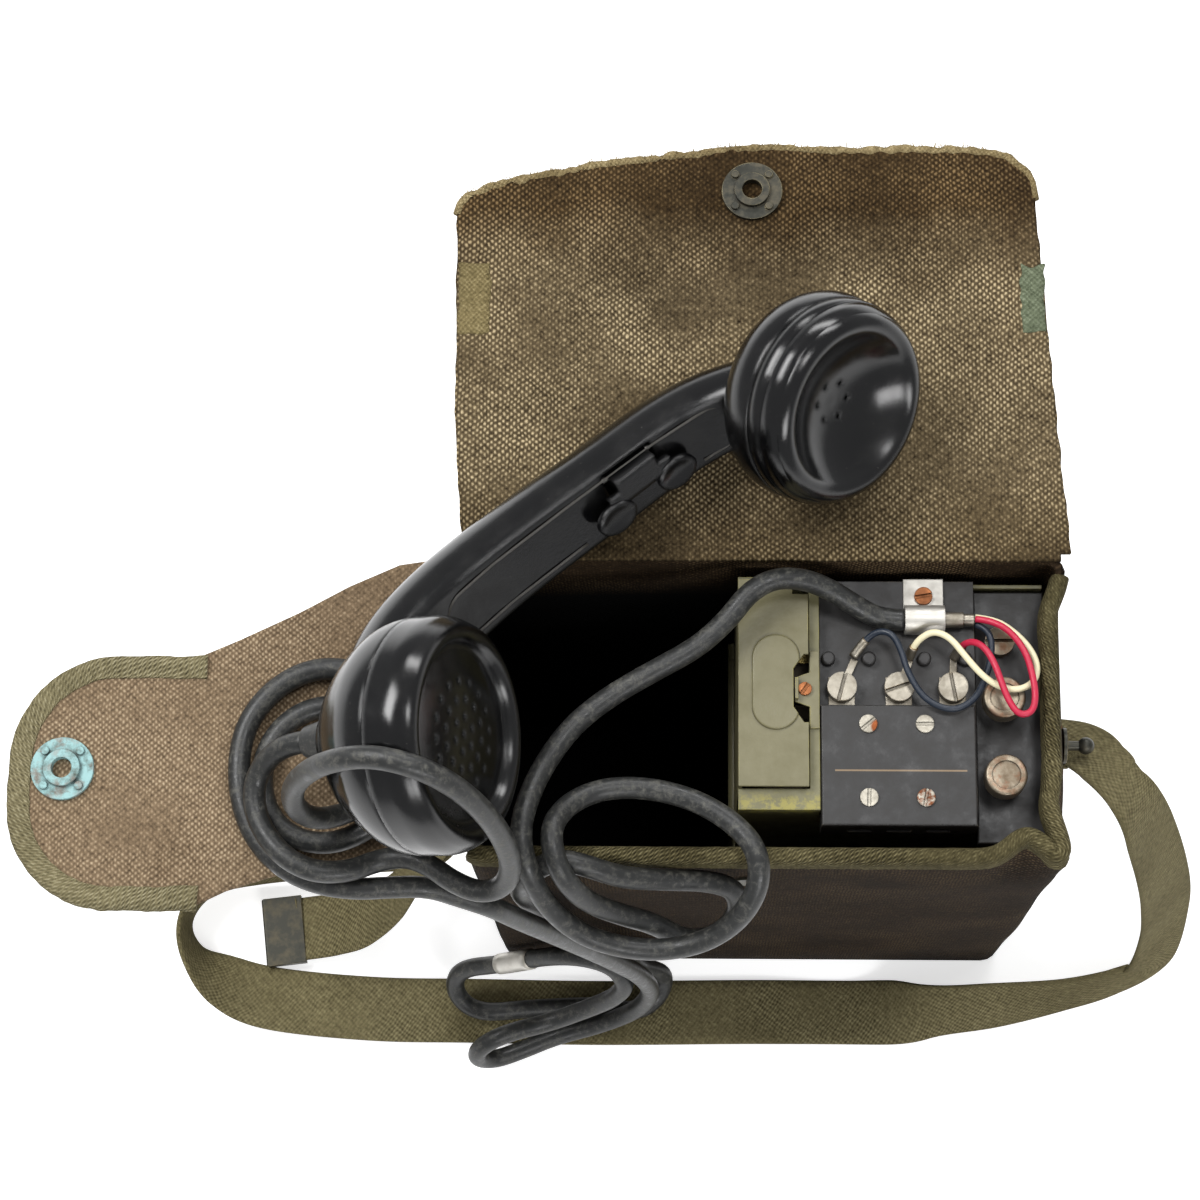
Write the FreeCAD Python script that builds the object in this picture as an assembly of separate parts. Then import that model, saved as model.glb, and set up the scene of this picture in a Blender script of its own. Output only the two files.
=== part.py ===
# Field telephone in a canvas bag, with a handset on a rubber cord.
# Millimetres. X runs to the right, Y to the back, Z up.
# The origin is the centre of the bag's bottom, on the surface that it stands on.
import FreeCAD, Part
import math
import os

os.makedirs("parts", exist_ok=True)
V = FreeCAD.Vector

# Driving sizes of the bag
bag_width = 197.0
bag_depth = 97.0
bag_height = 241.4
canvas = 2.5                  # heavy canvas, two layers sewn together
mouth_flare = 2.5             # the mouth stands open by this much at front and back
bag_corner = 7.0              # radius of the bag's upright corners
tape_width = 9.0              # binding tape folded over a raw edge
tape_skin = 1.2
flap_gap = 0.3                # between a flap and the wall it folds from
touch = 0.05                  # a sewn or wrapped piece stands off what it covers by this
rivet_radius = 3.2
rivet_rise = 0.9
rivet_below_mouth = 13.4
rivet_from_corner = 12.0

# The points drawn by hand below were drawn for a bag of this size
drawn_width = 197.0
drawn_height = 241.4
drawn_middle = -9.0           # to the right of this, everything goes with the chassis
width_change = (bag_width - drawn_width) / 2
height_change = bag_height - drawn_height


def fitted(x, y, z):
    """A hand-drawn point, moved with the bag's walls, mouth and chassis."""
    if x >= drawn_middle:
        x = x + width_change
    elif x <= -drawn_width / 2:
        x = x - width_change
    else:
        share = (x + drawn_width / 2) / (drawn_middle + drawn_width / 2)
        x = x + width_change * (2 * share - 1)
    z = z * bag_height / drawn_height if z < drawn_height else z + height_change
    return (x, y, z)


# Driving sizes of the flaps
lid_hinge_half = bag_width / 2 + 2.0   # the lid is a little wider than the bag
lid_crease_left = -104.6 - width_change
lid_crease_right = 93.2 + width_change
lid_top_length = 104.4        # from the back wall to the crease
lid_worn_edge = (             # the frayed outer edge, from left to right
    (-104.9, 171.0), (-100.6, 178.4), (-93.8, 181.8), (-80.2, 185.4), (-56.2, 190.6),
    (-35.7, 193.0), (-6.5, 196.1), (67.0, 196.3), (84.0, 193.0), (90.5, 187.0), (92.4, 178.0))
side_flap_root = 97.0         # width at the bag
side_flap_taper = 86.0        # how far out the flap keeps tapering
side_flap_length = 147.0
side_flap_lobe = 82.0         # width of the bound end
side_flap_skew = -27.0        # the bound end hangs this far toward the front
side_flap_round = 34.0        # corner radius of the bound end

# Snap fasteners
snap_radius = 10.3
snap_thickness = 3.2
snap_hole = 3.4
lid_snap_x = -4.2
lid_snap_y = 178.8
side_snap_inset = 16.8
stud_ball = 2.9
stud_neck = 1.6
stud_flange = 6.0
stud_flange_rise = 1.2
stud_stand = 9.0
stud_z = bag_height - 36.4    # the stud that the side flap snaps on
right_stud_y = -5.5
front_stud_z = bag_height - 41.4
stud_skew = 0.07              # the walls lean, so a flat base stands off by this
socket_rim = 2.6
socket_prong = 1.3
socket_prong_inset = 2.2

# Carrying strap
strap_width = 25.4
strap_thickness = 1.8
strap_tip_length = 16.0
strap_tip_skin = 0.8
strap_tip_place = (-178.8, -38.1, 3.5)
strap_tip_turn = 7.0          # degrees about the upright
buckle_z = 122.0              # middle of the buckle on the left wall
buckle_stand = 7.4            # the buckle's near face beyond the wall
buckle_sheet = 1.8
buckle_tall = 7.0             # half of its height
buckle_rim = 3.5
buckle_slots = (-2.9, 2.9)    # middles of its two slots, from its own middle
buckle_slot_half = 1.7
buckle_lug_half = 5.0
buckle_lug_tall = 2.4
buckle_rivet_y = 6.0

# Chassis
clear = 0.3
chassis_right = bag_width / 2 - 6.0
chassis_width = 101.5
chassis_left = chassis_right - chassis_width
chassis_front = -33.5
chassis_back = 45.0
chassis_top = bag_height - 7.4
sheet = 1.2                   # pressed steel of the chassis
shelf_height = 78.0
flange_width = 7.0

# Battery compartment
cell_radius = 16.5
cell_height = 58.0
cell_cap_radius = 4.5
cell_cap_height = 3.0
tray_sheet = 1.5
contact_room = 2.5            # between the cells' caps and the panel above them
contact_sheet = 0.6
partition_x = chassis_left + 38.0
door_width = 23.0
door_front = -26.3
door_back = 43.4
door_top = bag_height - 4.2
door_hinge_z = bag_height - 93.4
ear_length = 6.0              # of the frame's two hinge ears
ear_gap = 0.2
lip_notch_width = 5.2
lip_notch_length = 5.0
catch_front = -5.0            # the door lip's notch for the catch
catch_back = 18.0
catch_depth = 5.0
boss_x = chassis_left + 12.3
boss_y = 8.5
hinge_pin_radius = 1.3
hinge_knuckle_radius = 2.7
running = 0.05                # running clearance of pins and shafts
emboss_length = 32.0
emboss_width = 15.6
emboss_rise = 0.9
catch_screw_x = chassis_left + 21.9
catch_screw_y = 6.6

# Moulded panels
panel_left = chassis_left + 27.0
panel_right = chassis_right - 23.2
panel_top = bag_height - 12.4
panel_thickness = 4.0
tray_height = (panel_top - panel_thickness - contact_room - cell_cap_height - cell_height
               - tray_sheet)
block_front = -38.8
block_back = 1.5
block_top = bag_height - 6.4
block_bottom = bag_height - 21.4
side_top = bag_height - 17.4
side_bottom = bag_height - 21.4
side_front = -42.5
side_back = 42.8

# Fasteners and terminals on the panels
terminal_x = (panel_left + 7.2, panel_left + 26.0, panel_left + 43.7)
terminal_y = 8.0
terminal_head = 4.9
terminal_rise = 4.0
tag_width = 8.6
tag_sheet = 0.8
tag_reach = 6.2
tag_leans = (4.4, 3.8, 0.6)    # how far each tag's tail runs to the right
slot_width = 1.1
slot_depth = 1.0
block_screw_head = 3.0
block_screw_rise = 0.8
terminal_turns = (75, 20, 100)           # which way the three slots lie, in degrees
block_screw_x = (panel_left + 15.5, panel_left + 34.0)
block_screw_y = (-5.0, -29.5)
block_screw_turns = (40, 0, 88, 80)
block_recesses = 3            # shallow recesses along the block's front
recess_half = 4.0
recess_depth = 1.2
peg_radius = 2.3
peg_rise = 3.0
peg_x = (panel_left + 2.8, panel_left + 16.3, panel_left + 34.5, panel_left + 48.0)
peg_y = 18.1
thread_radius = 1.7

# Line posts, pressed down against a spring to take a wire
post_x = chassis_right - 14.6
post_front_y = -22.4
post_rear_y = 3.5
post_cap_radius = 6.9
post_cap_height = 7.0
post_cap_top = bag_height - 2.9
post_travel = 3.5
post_stem = 2.6
collar_radius = 5.2
collar_height = 5.5
selector_y = 25.1
selector_radius = 4.9
selector_height = 4.0
selector_stem = 2.0

# Cord and its clamp
cord_radius = 3.6
clamp_x = panel_left + 34.6
clamp_width = 13.2
clamp_plate_depth = 11.0
clamp_sheet = 1.2
clamp_screw_head = 3.0
ferrule_length = 6.2
ferrule_radius = 2.6
sleeve_length = 3.5
wire_radius = 1.1
outlet_length = 9.0           # rubber cone where the cord enters the handset
tag_radius = 4.4              # the bare band on the cord
tag_length = 18.0
tag_run = 62                  # the run of the route that the band sits on
tag_offset = 9.5             # from that run's first point

# Hand generator
generator_y = 6.0
generator_z = 112.0
generator_left = chassis_left + 42.0
generator_plate = 3.0
generator_right = chassis_right - 9.5
magnet_inner = 20.0
magnet_outer = 29.0
magnet_thickness = 9.0
magnet_pitch = 11.5
magnet_count = 3
magnet_leg = 24.0
armature_radius = 16.5
shaft_radius = 3.0
gear_module = 0.8
gear_teeth = 48
pinion_teeth = 12
gear_width = 5.0
crank_shaft_radius = 4.0
crank_hole = 9.0
crank_arm_length = 40.0
crank_arm_width = 11.0
crank_arm_thickness = 2.6
crank_stand = 4.0             # crank arm's inner face beyond the bag's wall
knob_radius = 6.0
knob_length = 6.0

# Ringer
gong_radius = 19.0
gong_depth = 13.0
gong_wall = 1.4
gong_spread = 25.0            # each gong's centre from the clapper
gong_z = 34.0
ringer_x = chassis_left + 52.0
ringer_y = 8.0
clapper_ball = 3.0
clapper_pivot_z = 62.0
coil_radius = 8.0
coil_height = 14.0
coil_spread = 11.0

# Handset, in its own frame: U along the handle, W to the user's face
handset_azimuth = 39.7
handset_pitch = -2.5
handset_roll = 53.0
handset_centre = fitted(-32.1, 30.9, 292.9)
face_spacing = 162.0
ear_tilt = 10.0
mouth_tilt = 40.0
ear_radius = 32.3
ear_cup_radius = 34.6         # the cup swells behind its cap
ear_recess_radius = 24.5
ear_recess_depth = 11.0
ear_depth = 26.0
ear_neck_depth = 38.0
mouth_radius = 37.0
mouth_plate_radius = 26.5
mouth_recess = 3.5
mouth_depth = 22.0
mouth_cone_depth = 50.0
mouth_cone_radius = 9.5
bakelite = 3.0
ear_sink = -5.2               # how far each face lies along W from the handset's middle
mouth_sink = 3.7
ear_seam = -14.0              # where each cap meets its cup, below the cap's face
mouth_seam = -16.0
sound_hole = 0.8
sound_ring = 6.4
sound_rings = ((0, 1), (5.5, 6), (11.0, 12), (16.5, 16))   # radius and number of holes
handle_width = 29.0
handle_back = -56.0           # W of the handle's middle line
handle_inner = 11.0
# Sections of the handle: U, W, slope in degrees, depth to the flat inner side, depth to
# the round back, and width as a share of the handle's
handle_sections = (
    (-94.0, -35.0, 42, 9.5, 10.0, 0.98), (-81.0, -45.5, 30, 10.5, 13.0, 1.1),
    (-62.0, -53.0, 13, 11.0, 14.0, 1.08), (-38.0, -56.0, 3, 11.0, 14.0, 1.03),
    (-5.0, -56.0, 0, 11.0, 13.5, 1.0), (28.0, -55.0, -3, 11.0, 13.0, 0.98),
    (47.0, -52.0, -12, 10.5, 13.0, 0.96), (61.0, -45.5, -30, 9.5, 12.5, 0.93),
    (72.0, -37.5, -44, 8.0, 11.5, 0.88))

# Talk switch: a lever with two wings on a pin along the handle
lever_u = 17.0
lever_s = 5.5                 # the switch sits toward the handle's far edge
lever_rise = 3.4              # the wings' underside above the handle's flat face
lever_sheet = 2.4
lever_spread = 12.5           # each wing's middle from the lever's middle
wing_length = 11.0
wing_width = 8.0
pin_radius = 1.1
pin_length = 25.8
pin_sink = 2.2                # the pin's line below the handle's flat face
pocket_size = (20.0, 10.0, 8.0)

# The cord's route, chosen by hand from the clamp to the handset
near_route = (
    (46.0, 30.8, 232.9), (38.5, 30.8, 232.9), (30.5, 34.2, 236.0), (21.5, 38.8, 241.0), (12.7, 41.2, 245.5),
    (2.8, 40.8, 248.5), (-5.7, 36.1, 248.2), (-12.6, 26.8, 247.5), (-22.7, 17.5, 246.8),
    (-37.3, 9.4, 246.6), (-50.9, 1.3, 246.6), (-62.5, -8.1, 246.8), (-71.3, -20.6, 248.0),
    (-76.8, -34.2, 253.5), (-79.0, -46.5, 258.0), (-76.5, -57.5, 254.0), (-70.5, -67.0, 241.0),
    (-59.5, -74.5, 229.0), (-44.2, -77.9, 224.0), (-30.5, -78.1, 224.0), (-17.5, -75.2, 229.0),
    (-7.7, -69.0, 238.0), (-2.4, -60.2, 246.5), (-3.1, -50.1, 250.5), (-10.1, -41.3, 249.0),
    (-20.9, -34.1, 247.5), (-32.9, -30.1, 247.0), (-44.8, -28.8, 247.0), (-55.7, -30.4, 248.0),
    (-65.1, -36.4, 252.0), (-69.6, -46.0, 259.5), (-66.1, -59.2, 257.9), (-58.5, -65.3, 242.4),
    (-47.7, -67.2, 229.0), (-36.1, -69.0, 221.0), (-26.1, -73.3, 211.6), (-15.7, -71.2, 208.4),
    (-8.3, -64.2, 213.0), (-9.6, -57.5, 221.9), (-19.2, -56.0, 228.7), (-32.8, -56.8, 234.0),
    (-46.5, -57.6, 242.0), (-57.8, -54.9, 249.1), (-66.8, -53.1, 250.5), (-76.1, -56.4, 245.9),
    (-80.3, -59.5, 232.4), (-79.5, -58.5, 206.4), (-74.8, -57.3, 160.8), (-66.6, -56.8, 113.8),
    (-46.8, -56.0, 68.5), (-46.5, -56.1, 37.6), (-38.8, -56.0, 23.6), (-33.8, -56.9, 13.5),
    (-35.8, -64.0, 5.8), (-44.4, -70.9, 5.8), (-57.5, -68.5, 6.2), (-72.4, -68.9, 6.9),
    (-89.9, -70.0, 6.9), (-105.3, -71.6, 6.5), (-114.0, -68.2, 8.3), (-117.7, -61.6, 14.3),
    (-113.9, -56.0, 22.6), (-96.9, -56.0, 34.1), (-73.1, -56.0, 63.0), (-54.7, -59.5, 65.5),
    (-47.9, -66.3, 56.2), (-53.0, -70.0, 44.2), (-63.0, -72.5, 32.0), (-79.0, -77.0, 22.0),
    (-96.6, -82.4, 28.1), (-106.3, -87.2, 23.3), (-108.1, -90.2, 12.9), (-101.0, -89.7, 4.4),
    (-90.6, -86.1, 5.8), (-76.5, -80.3, 6.8), (-59.0, -76.0, 9.0), (-44.5, -71.5, 19.0),
    (-38.5, -67.5, 42.0), (-42.0, -66.6, 80.0), (-51.0, -66.8, 118.0), (-61.0, -67.0, 153.0),
    (-71.0, -67.0, 185.0), (-80.5, -66.8, 212.0), (-88.5, -65.8, 233.0), (-98.5, -63.5, 238.8))
far_route = (
    (-98.5, -63.5, 238.8), (-108.5, -61.2, 244.6), (-120.8, -61.8, 246.3),
    (-131.7, -62.6, 246.6), (-144.3, -60.9, 246.6), (-155.0, -56.1, 246.6),
    (-164.1, -47.4, 246.6), (-169.4, -35.9, 246.6), (-171.3, -22.4, 246.6),
    (-169.5, -9.5, 246.6), (-162.7, 1.2, 246.6), (-152.4, 8.6, 246.6), (-141.0, 10.7, 246.6),
    (-128.8, 7.4, 246.6), (-118.8, -2.6, 246.6), (-114.2, -15.2, 246.6),
    (-115.7, -28.1, 246.6), (-121.8, -37.7, 246.6), (-130.4, -44.3, 246.6),
    (-140.7, -48.1, 246.6), (-151.2, -46.6, 246.6), (-159.2, -40.8, 246.6),
    (-163.2, -31.6, 246.6), (-163.3, -21.7, 246.6), (-159.5, -11.8, 246.6),
    (-151.9, -4.8, 246.6), (-142.2, -2.0, 246.6), (-132.5, -4.6, 246.6),
    (-125.3, -12.0, 246.6), (-123.6, -22.4, 246.6), (-127.3, -32.8, 246.8),
    (-135.6, -39.4, 251.9), (-143.9, -43.1, 262.3), (-148.7, -41.9, 276.1),
    (-147.4, -38.7, 292.2), (-140.9, -37.0, 308.5), (-132.0, -36.7, 323.0),
    (-120.5, -36.8, 331.0), (-108.1, -39.4, 332.3), (-97.3, -42.8, 325.0),
    (-88.2, -47.8, 310.5), (-82.2, -53.4, 292.0), (-80.1, -58.9, 273.5),
    (-82.8, -63.3, 260.0), (-90.8, -65.0, 254.8), (-99.6, -61.6, 254.6),
    (-107.5, -55.9, 254.0), (-115.5, -52.6, 252.0), (-124.5, -53.8, 250.0),
    (-133.4, -58.2, 254.0), (-143.8, -58.9, 256.5), (-153.2, -54.6, 256.5),
    (-160.3, -46.8, 255.5), (-164.6, -37.2, 255.0), (-163.5, -26.5, 257.5))

# The three leads' routes, from the lug to the cord's end or back
blue_route = (
    (29.0, 18.6, 230.95), (32.2, 22.9, 233.5), (36.7, 26.1, 236.5), (41.4, 24.9, 238.5),
    (44.3, 19.5, 238.5), (46.2, 12.2, 238.0), (50.6, 4.1, 238.0), (56.1, 0.0, 238.5),
    (62.2, -1.0, 238.5), (67.9, 2.5, 238.0), (71.4, 8.5, 237.0), (73.9, 16.1, 236.0),
    (74.6, 23.5, 234.5), (72.8, 28.2, 232.8), (69.4, 29.6, 232.2))
cream_route = (
    (47.8, 18.6, 230.95), (48.2, 20.3, 234.5), (50.6, 23.3, 237.5), (55.0, 25.3, 239.8),
    (60.2, 22.8, 241.3), (64.9, 16.4, 241.8), (70.3, 9.7, 242.0), (76.3, 5.6, 242.0),
    (82.5, 4.9, 242.0), (87.6, 8.0, 241.0), (88.9, 13.9, 239.6), (86.4, 20.6, 237.6),
    (81.0, 27.0, 235.2), (75.5, 31.0, 232.9), (69.4, 31.9, 232.2))
red_route = (
    (69.4, 30.8, 234.3), (73.5, 30.2, 235.3), (79.5, 26.4, 238.5), (84.4, 18.5, 242.2),
    (86.4, 9.8, 244.6), (87.2, 2.0, 245.6), (85.9, -3.4, 246.0), (81.6, -4.4, 246.0),
    (78.4, 0.1, 246.0), (76.1, 6.6, 246.0), (74.0, 13.4, 245.4), (71.0, 19.2, 243.6),
    (67.2, 21.9, 240.4), (63.8, 20.9, 235.8), (62.3, 18.4, 230.95))

# Carrying strap: the middle of each section, the way across it and its upper side
strap_round = (
    ((103.5, -6.0, 216.5), (0.02, 1, 0), (0.5, 0, 1)),
    ((110.0, -8.0, 215.0), (0.1, 1, 0), (0.4, 0, 1)),
    ((121.0, -12.5, 203.0), (0.3, 1, 0), (0.8, 0, 1)),
    ((135.0, -20.0, 170.0), (0.45, 0.9, 0.1), (1, -0.3, 0.45)),
    ((145.5, -28.5, 120.0), (0.55, 0.75, 0.3), (1, -0.7, 0.1)),
    ((150.0, -38.0, 70.0), (0.5, 0.45, 0.7), (1, -1.2, 0.1)),
    ((145.5, -52.0, 32.0), (0.35, 0.1, 0.9), (0.7, -1, 0.1)),
    ((131.0, -62.5, 15.5), (0.1, -0.3, 0.95), (0.3, -1, -0.25)),
    ((110.0, -68.0, 8.5), (0.0, -0.85, 0.45), (0, -0.5, -0.9)),
    ((88.0, -69.5, 2.2), (0.0, -1, 0.08), (0, -0.08, -1)),
    ((58.0, -69.0, 0.9), (0, -1, 0), (0, 0, -1)),
    ((-60.0, -70.5, 0.9), (0, -1, 0), (0, 0, -1)),
    ((-150.0, -69.5, 0.9), (0.0, -1, 0), (0, 0, -1)),
    ((-190.0, -66.0, 3.2), (-0.15, -1, 0.12), (0, -0.12, -1)),
    ((-209.0, -60.0, 8.8), (-0.4, -0.75, 0.55), (-0.4, -0.4, -0.85)),
    ((-221.0, -50.0, 12.8), (-0.25, -0.2, 0.95), (-1, -0.7, -0.2)),
    ((-225.0, -36.0, 13.2), (0, 0, 1), (-1, 0, 0)),
    ((-217.0, -24.0, 13.2), (0, 0, 1), (-0.5, 1, 0)),
    ((-198.0, -18.0, 13.6), (0, 0.1, 1), (-0.1, 1, 0)),
    ((-160.0, -13.0, 19.0), (0, 0.25, 1), (0.1, 1, -0.1)),
    ((-128.0, -8.0, 45.0), (0.1, 0.75, 0.7), (0.6, 0.7, -0.7)),
    ((-110.0, -3.0, 80.0), (0, 1, 0.2), (1, 0, -0.35)))
strap_tail = (
    ((-112.0, -6.0, 92.0), (0.1, 1, 0.1), (-1, 0, 0.4)),
    ((-124.0, -17.0, 66.0), (0.25, 1, 0.2), (-1, 0.2, 0.6)),
    ((-136.0, -28.0, 40.0), (0.25, 1, 0.1), (-1, 0.1, 0.9)),
    ((-150.0, -34.5, 19.0), (0.2, 1, 0.0), (-0.7, 0, 1)),
    ((-164.0, -36.5, 8.0), (0.12, 1, 0.0), (-0.3, 0, 1)),
    ((-178.5, -38.0, 3.6), (0.1, 1, 0.0), (-0.2, 0, 1)))


# Small helpers for shapes
def box(x0, x1, y0, y1, z0, z1):
    return Part.makeBox(x1 - x0, y1 - y0, z1 - z0, V(x0, y0, z0))


def rod(base, direction, radius, length):
    return Part.makeCylinder(radius, length, V(*base), V(*direction))


def tube(base, direction, outer, inner, length):
    return rod(base, direction, outer, length).cut(rod(base, direction, inner, length))


def joined(shapes):
    result = shapes[0]
    if len(shapes) > 1:
        result = shapes[0].multiFuse(list(shapes[1:]))
    return result.removeSplitter()


def closed_wire(points):
    return Part.makePolygon([V(*p) for p in points] + [V(*points[0])])


def prism(points, direction):
    return Part.Face(closed_wire(points)).extrude(V(*direction))


def rounded_rectangle(x0, x1, y0, y1, z, radius):
    arcs = ((x1 - radius, y0 + radius, 270), (x1 - radius, y1 - radius, 0),
            (x0 + radius, y1 - radius, 90), (x0 + radius, y0 + radius, 180))
    edges = []
    for x, y, start in arcs:
        def at(degrees):
            turn = math.radians(degrees)
            return V(x + radius * math.cos(turn), y + radius * math.sin(turn), z)
        if edges:
            edges.append(Part.LineSegment(last, at(start)).toShape())
        else:
            first = at(start)
        edges.append(Part.Arc(at(start), at(start + 45), at(start + 90)).toShape())
        last = at(start + 90)
    edges.append(Part.LineSegment(last, first).toShape())
    return Part.Wire(edges)


def rounded_plate(x0, x1, y0, y1, z0, z1, radius):
    return Part.Face(rounded_rectangle(x0, x1, y0, y1, z0, radius)).extrude(V(0, 0, z1 - z0))


def revolved(profile, base, axis):
    """Turn a profile of (radius, distance) points about a line from base along axis."""
    face = Part.Face(closed_wire([(r, 0, d) for r, d in profile]))
    solid = face.revolve(V(0, 0, 0), V(0, 0, 1), 360)
    solid.Placement = FreeCAD.Placement(V(*base), FreeCAD.Rotation(V(0, 0, 1), V(*axis)))
    return solid


def slotted_screw(x, y, z, head, rise, depth, turn):
    """A cheese-head screw: its head stands on z and its thread reaches down."""
    body = joined([rod((x, y, z), (0, 0, 1), head, rise),
                   rod((x, y, z - depth), (0, 0, 1), thread_radius, depth)])
    cut_depth = min(slot_depth, rise * 0.6)
    slot = box(-head - 1, head + 1, -slot_width / 2, slot_width / 2, 0, cut_depth + 1)
    slot.rotate(V(0, 0, 0), V(0, 0, 1), turn)
    slot.translate(V(x, y, z + rise - cut_depth))
    return body.cut(slot)


def route_wire(points):
    """Straight runs joined by tangent arcs, each as large as its two runs allow."""
    points = [V(*p) for p in points]
    edges = []
    start = points[0]
    radii = []
    for before, corner, after in zip(points, points[1:], points[2:]):
        into = (corner - before)
        away = (after - corner)
        short = min(into.Length, away.Length)
        into.normalize()
        away.normalize()
        half = into.getAngle(away) / 2
        radii.append(0.45 * short / math.tan(half))
        enter = corner - into * (0.45 * short)
        leave = corner + away * (0.45 * short)
        inward = (away - into).normalize()
        rise = radii[-1] / math.cos(half) - radii[-1]
        edges.append(Part.LineSegment(start, enter).toShape())
        edges.append(Part.Arc(enter, corner + inward * rise, leave).toShape())
        start = leave
    edges.append(Part.LineSegment(start, points[-1]).toShape())
    return Part.Wire(edges), radii


def cord_tube(name, points, radius):
    wire, radii = route_wire(points)
    first = wire.Edges[0]
    direction = first.tangentAt(first.FirstParameter)
    circle = Part.Wire(Part.makeCircle(radius, V(*points[0]), direction))
    solid = wire.makePipeShell([circle], True, False)
    ideal = math.pi * radius ** 2 * wire.Length
    print(name, "length", round(wire.Length, 1), "volume over section times length",
          round(solid.Volume / ideal, 4))
    print("  arc radii", " ".join(str(round(r, 1)) for r in radii))
    return solid


def strap_loft(sections):
    """A webbing strap through sections of (centre, across direction, up direction)."""
    wires = []
    for centre, across, up in sections:
        centre = V(*centre)
        across = V(*across).normalize() * (strap_width / 2)
        up = V(*up)
        up = up - across * (up.dot(across) / across.dot(across))
        up = up.normalize() * (strap_thickness / 2)
        corners = [centre - across - up, centre + across - up,
                   centre + across + up, centre - across + up]
        wires.append(Part.makePolygon(corners + [corners[0]]))
    solid = Part.makeLoft(wires, True, True)
    if solid.Volume < 0:
        solid.reverse()
    return solid


parts = {}


# Bag
half_width = bag_width / 2
half_depth = bag_depth / 2


def wall_y(z):
    """Outer face of the front and back wall at a height."""
    return half_depth + mouth_flare * z / bag_height


def bag_loft(z0, z1, inset):
    wires = []
    for z in (z0, z1):
        y = wall_y(z) - inset
        wires.append(rounded_rectangle(-half_width + inset, half_width - inset, -y, y, z,
                                       bag_corner - inset))
    return Part.makeLoft(wires, True, True)


crank_axis_z = generator_z + gear_module * (gear_teeth + pinion_teeth) / 2
bag = bag_loft(0, bag_height, 0).cut(bag_loft(canvas, bag_height + 10, canvas))
bag = bag.cut(rod((half_width - 10, generator_y, crank_axis_z), (1, 0, 0), crank_hole, 20))
parts["canvas_bag"] = bag

# Binding tape on the front and right edges of the mouth
tape_top = bag_height + tape_skin
tape_low = bag_height - tape_width


def tape_loft(inset):
    wires = []
    for z in (tape_low, tape_top):
        y = wall_y(z) - inset
        wires.append(rounded_rectangle(-half_width + inset, half_width - inset, -y, y, z,
                                       bag_corner - inset))
    return Part.makeLoft(wires, True, True)


tape = tape_loft(-tape_skin - 0.05).cut(tape_loft(canvas + tape_skin + 0.05))
tape = tape.cut(bag_loft(0, bag_height + 0.05, -0.05).cut(
    bag_loft(-1, bag_height + 20, canvas + 0.05)))
tape = tape.cut(box(-half_width - 5, half_width - bag_corner, -half_depth + 10,
                    half_depth + 20, tape_low - 1, tape_top + 1))
tape = tape.cut(box(-half_width - 5, -half_width + bag_corner, -half_depth - 10,
                    half_depth + 20, tape_low - 1, tape_top + 1))
tape = tape.cut(box(half_width - bag_corner - 1, half_width + 5, wall_y(bag_height) - bag_corner,
                    half_depth + 20, tape_low - 1, tape_top + 1))
parts["mouth_binding"] = tape

# Lid, folded back flat: its top panel and the front panel beyond the crease
mouth_back = wall_y(bag_height)
lid_low = bag_height - canvas / 2
lid_high = lid_low + canvas
lid_start = mouth_back + flap_gap
crease_y = mouth_back + lid_top_length
parts["lid_flap"] = prism([(-lid_hinge_half, lid_start, lid_low),
                           (lid_crease_left, crease_y - flap_gap / 2, lid_low),
                           (lid_crease_right, crease_y - flap_gap / 2, lid_low),
                           (lid_hinge_half, lid_start, lid_low)], (0, 0, canvas))
front_outline = [(lid_crease_left, crease_y + flap_gap / 2, lid_low)]
front_outline += [(x, y, lid_low) for x, y in lid_worn_edge]
front_outline += [(lid_crease_right, crease_y + flap_gap / 2, lid_low)]
front_panel = prism(front_outline, (0, 0, canvas))
front_panel = front_panel.cut(rod((lid_snap_x, lid_snap_y, lid_low - 1), (0, 0, 1),
                                  snap_hole, canvas + 2))
parts["lid_front_flap"] = front_panel


def snap_socket(x, y, z):
    ring = tube((x, y, z), (0, 0, 1), snap_radius, snap_hole, snap_thickness * 0.5)
    rim = tube((x, y, z), (0, 0, 1), snap_hole + socket_rim, snap_hole, snap_thickness)
    body = joined([ring, rim])
    for k in range(4):
        turn = math.radians(45 + 90 * k)
        px = x + (snap_radius - socket_prong_inset) * math.cos(turn)
        py = y + (snap_radius - socket_prong_inset) * math.sin(turn)
        body = body.fuse(rod((px, py, z), (0, 0, 1), socket_prong, snap_thickness * 0.8))
    return body.removeSplitter()


parts["lid_socket"] = snap_socket(lid_snap_x, lid_snap_y, lid_high)

# Side flap, laid out level to the left
flap_low = lid_low
flap_high = flap_low + canvas
flap_start = -half_width - flap_gap
flap_end = flap_start - side_flap_length
lobe_front = side_flap_skew - side_flap_lobe / 2
lobe_back = side_flap_skew + side_flap_lobe / 2
taper_x = flap_start - side_flap_taper


def flap_outline(z, inset):
    """Root edge, two tapering sides and a round bound end."""
    r = side_flap_round
    root = side_flap_root / 2
    end = flap_end + inset
    front = lobe_front + inset
    back = lobe_back - inset
    r = r - inset
    s = r * (1 - math.sqrt(0.5))
    a = V(flap_start, -root, z)
    b = V(taper_x, front, z)
    c = V(end + r, front, z)
    d = V(end, front + r, z)
    e = V(end, back - r, z)
    f = V(end + r, back, z)
    g = V(taper_x, back, z)
    h = V(flap_start, root, z)
    return Part.Wire([
        Part.LineSegment(a, b).toShape(), Part.LineSegment(b, c).toShape(),
        Part.Arc(c, V(end + s, front + s, z), d).toShape(),
        Part.LineSegment(d, e).toShape(),
        Part.Arc(e, V(end + s, back - s, z), f).toShape(),
        Part.LineSegment(f, g).toShape(), Part.LineSegment(g, h).toShape(),
        Part.LineSegment(h, a).toShape()])


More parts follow.
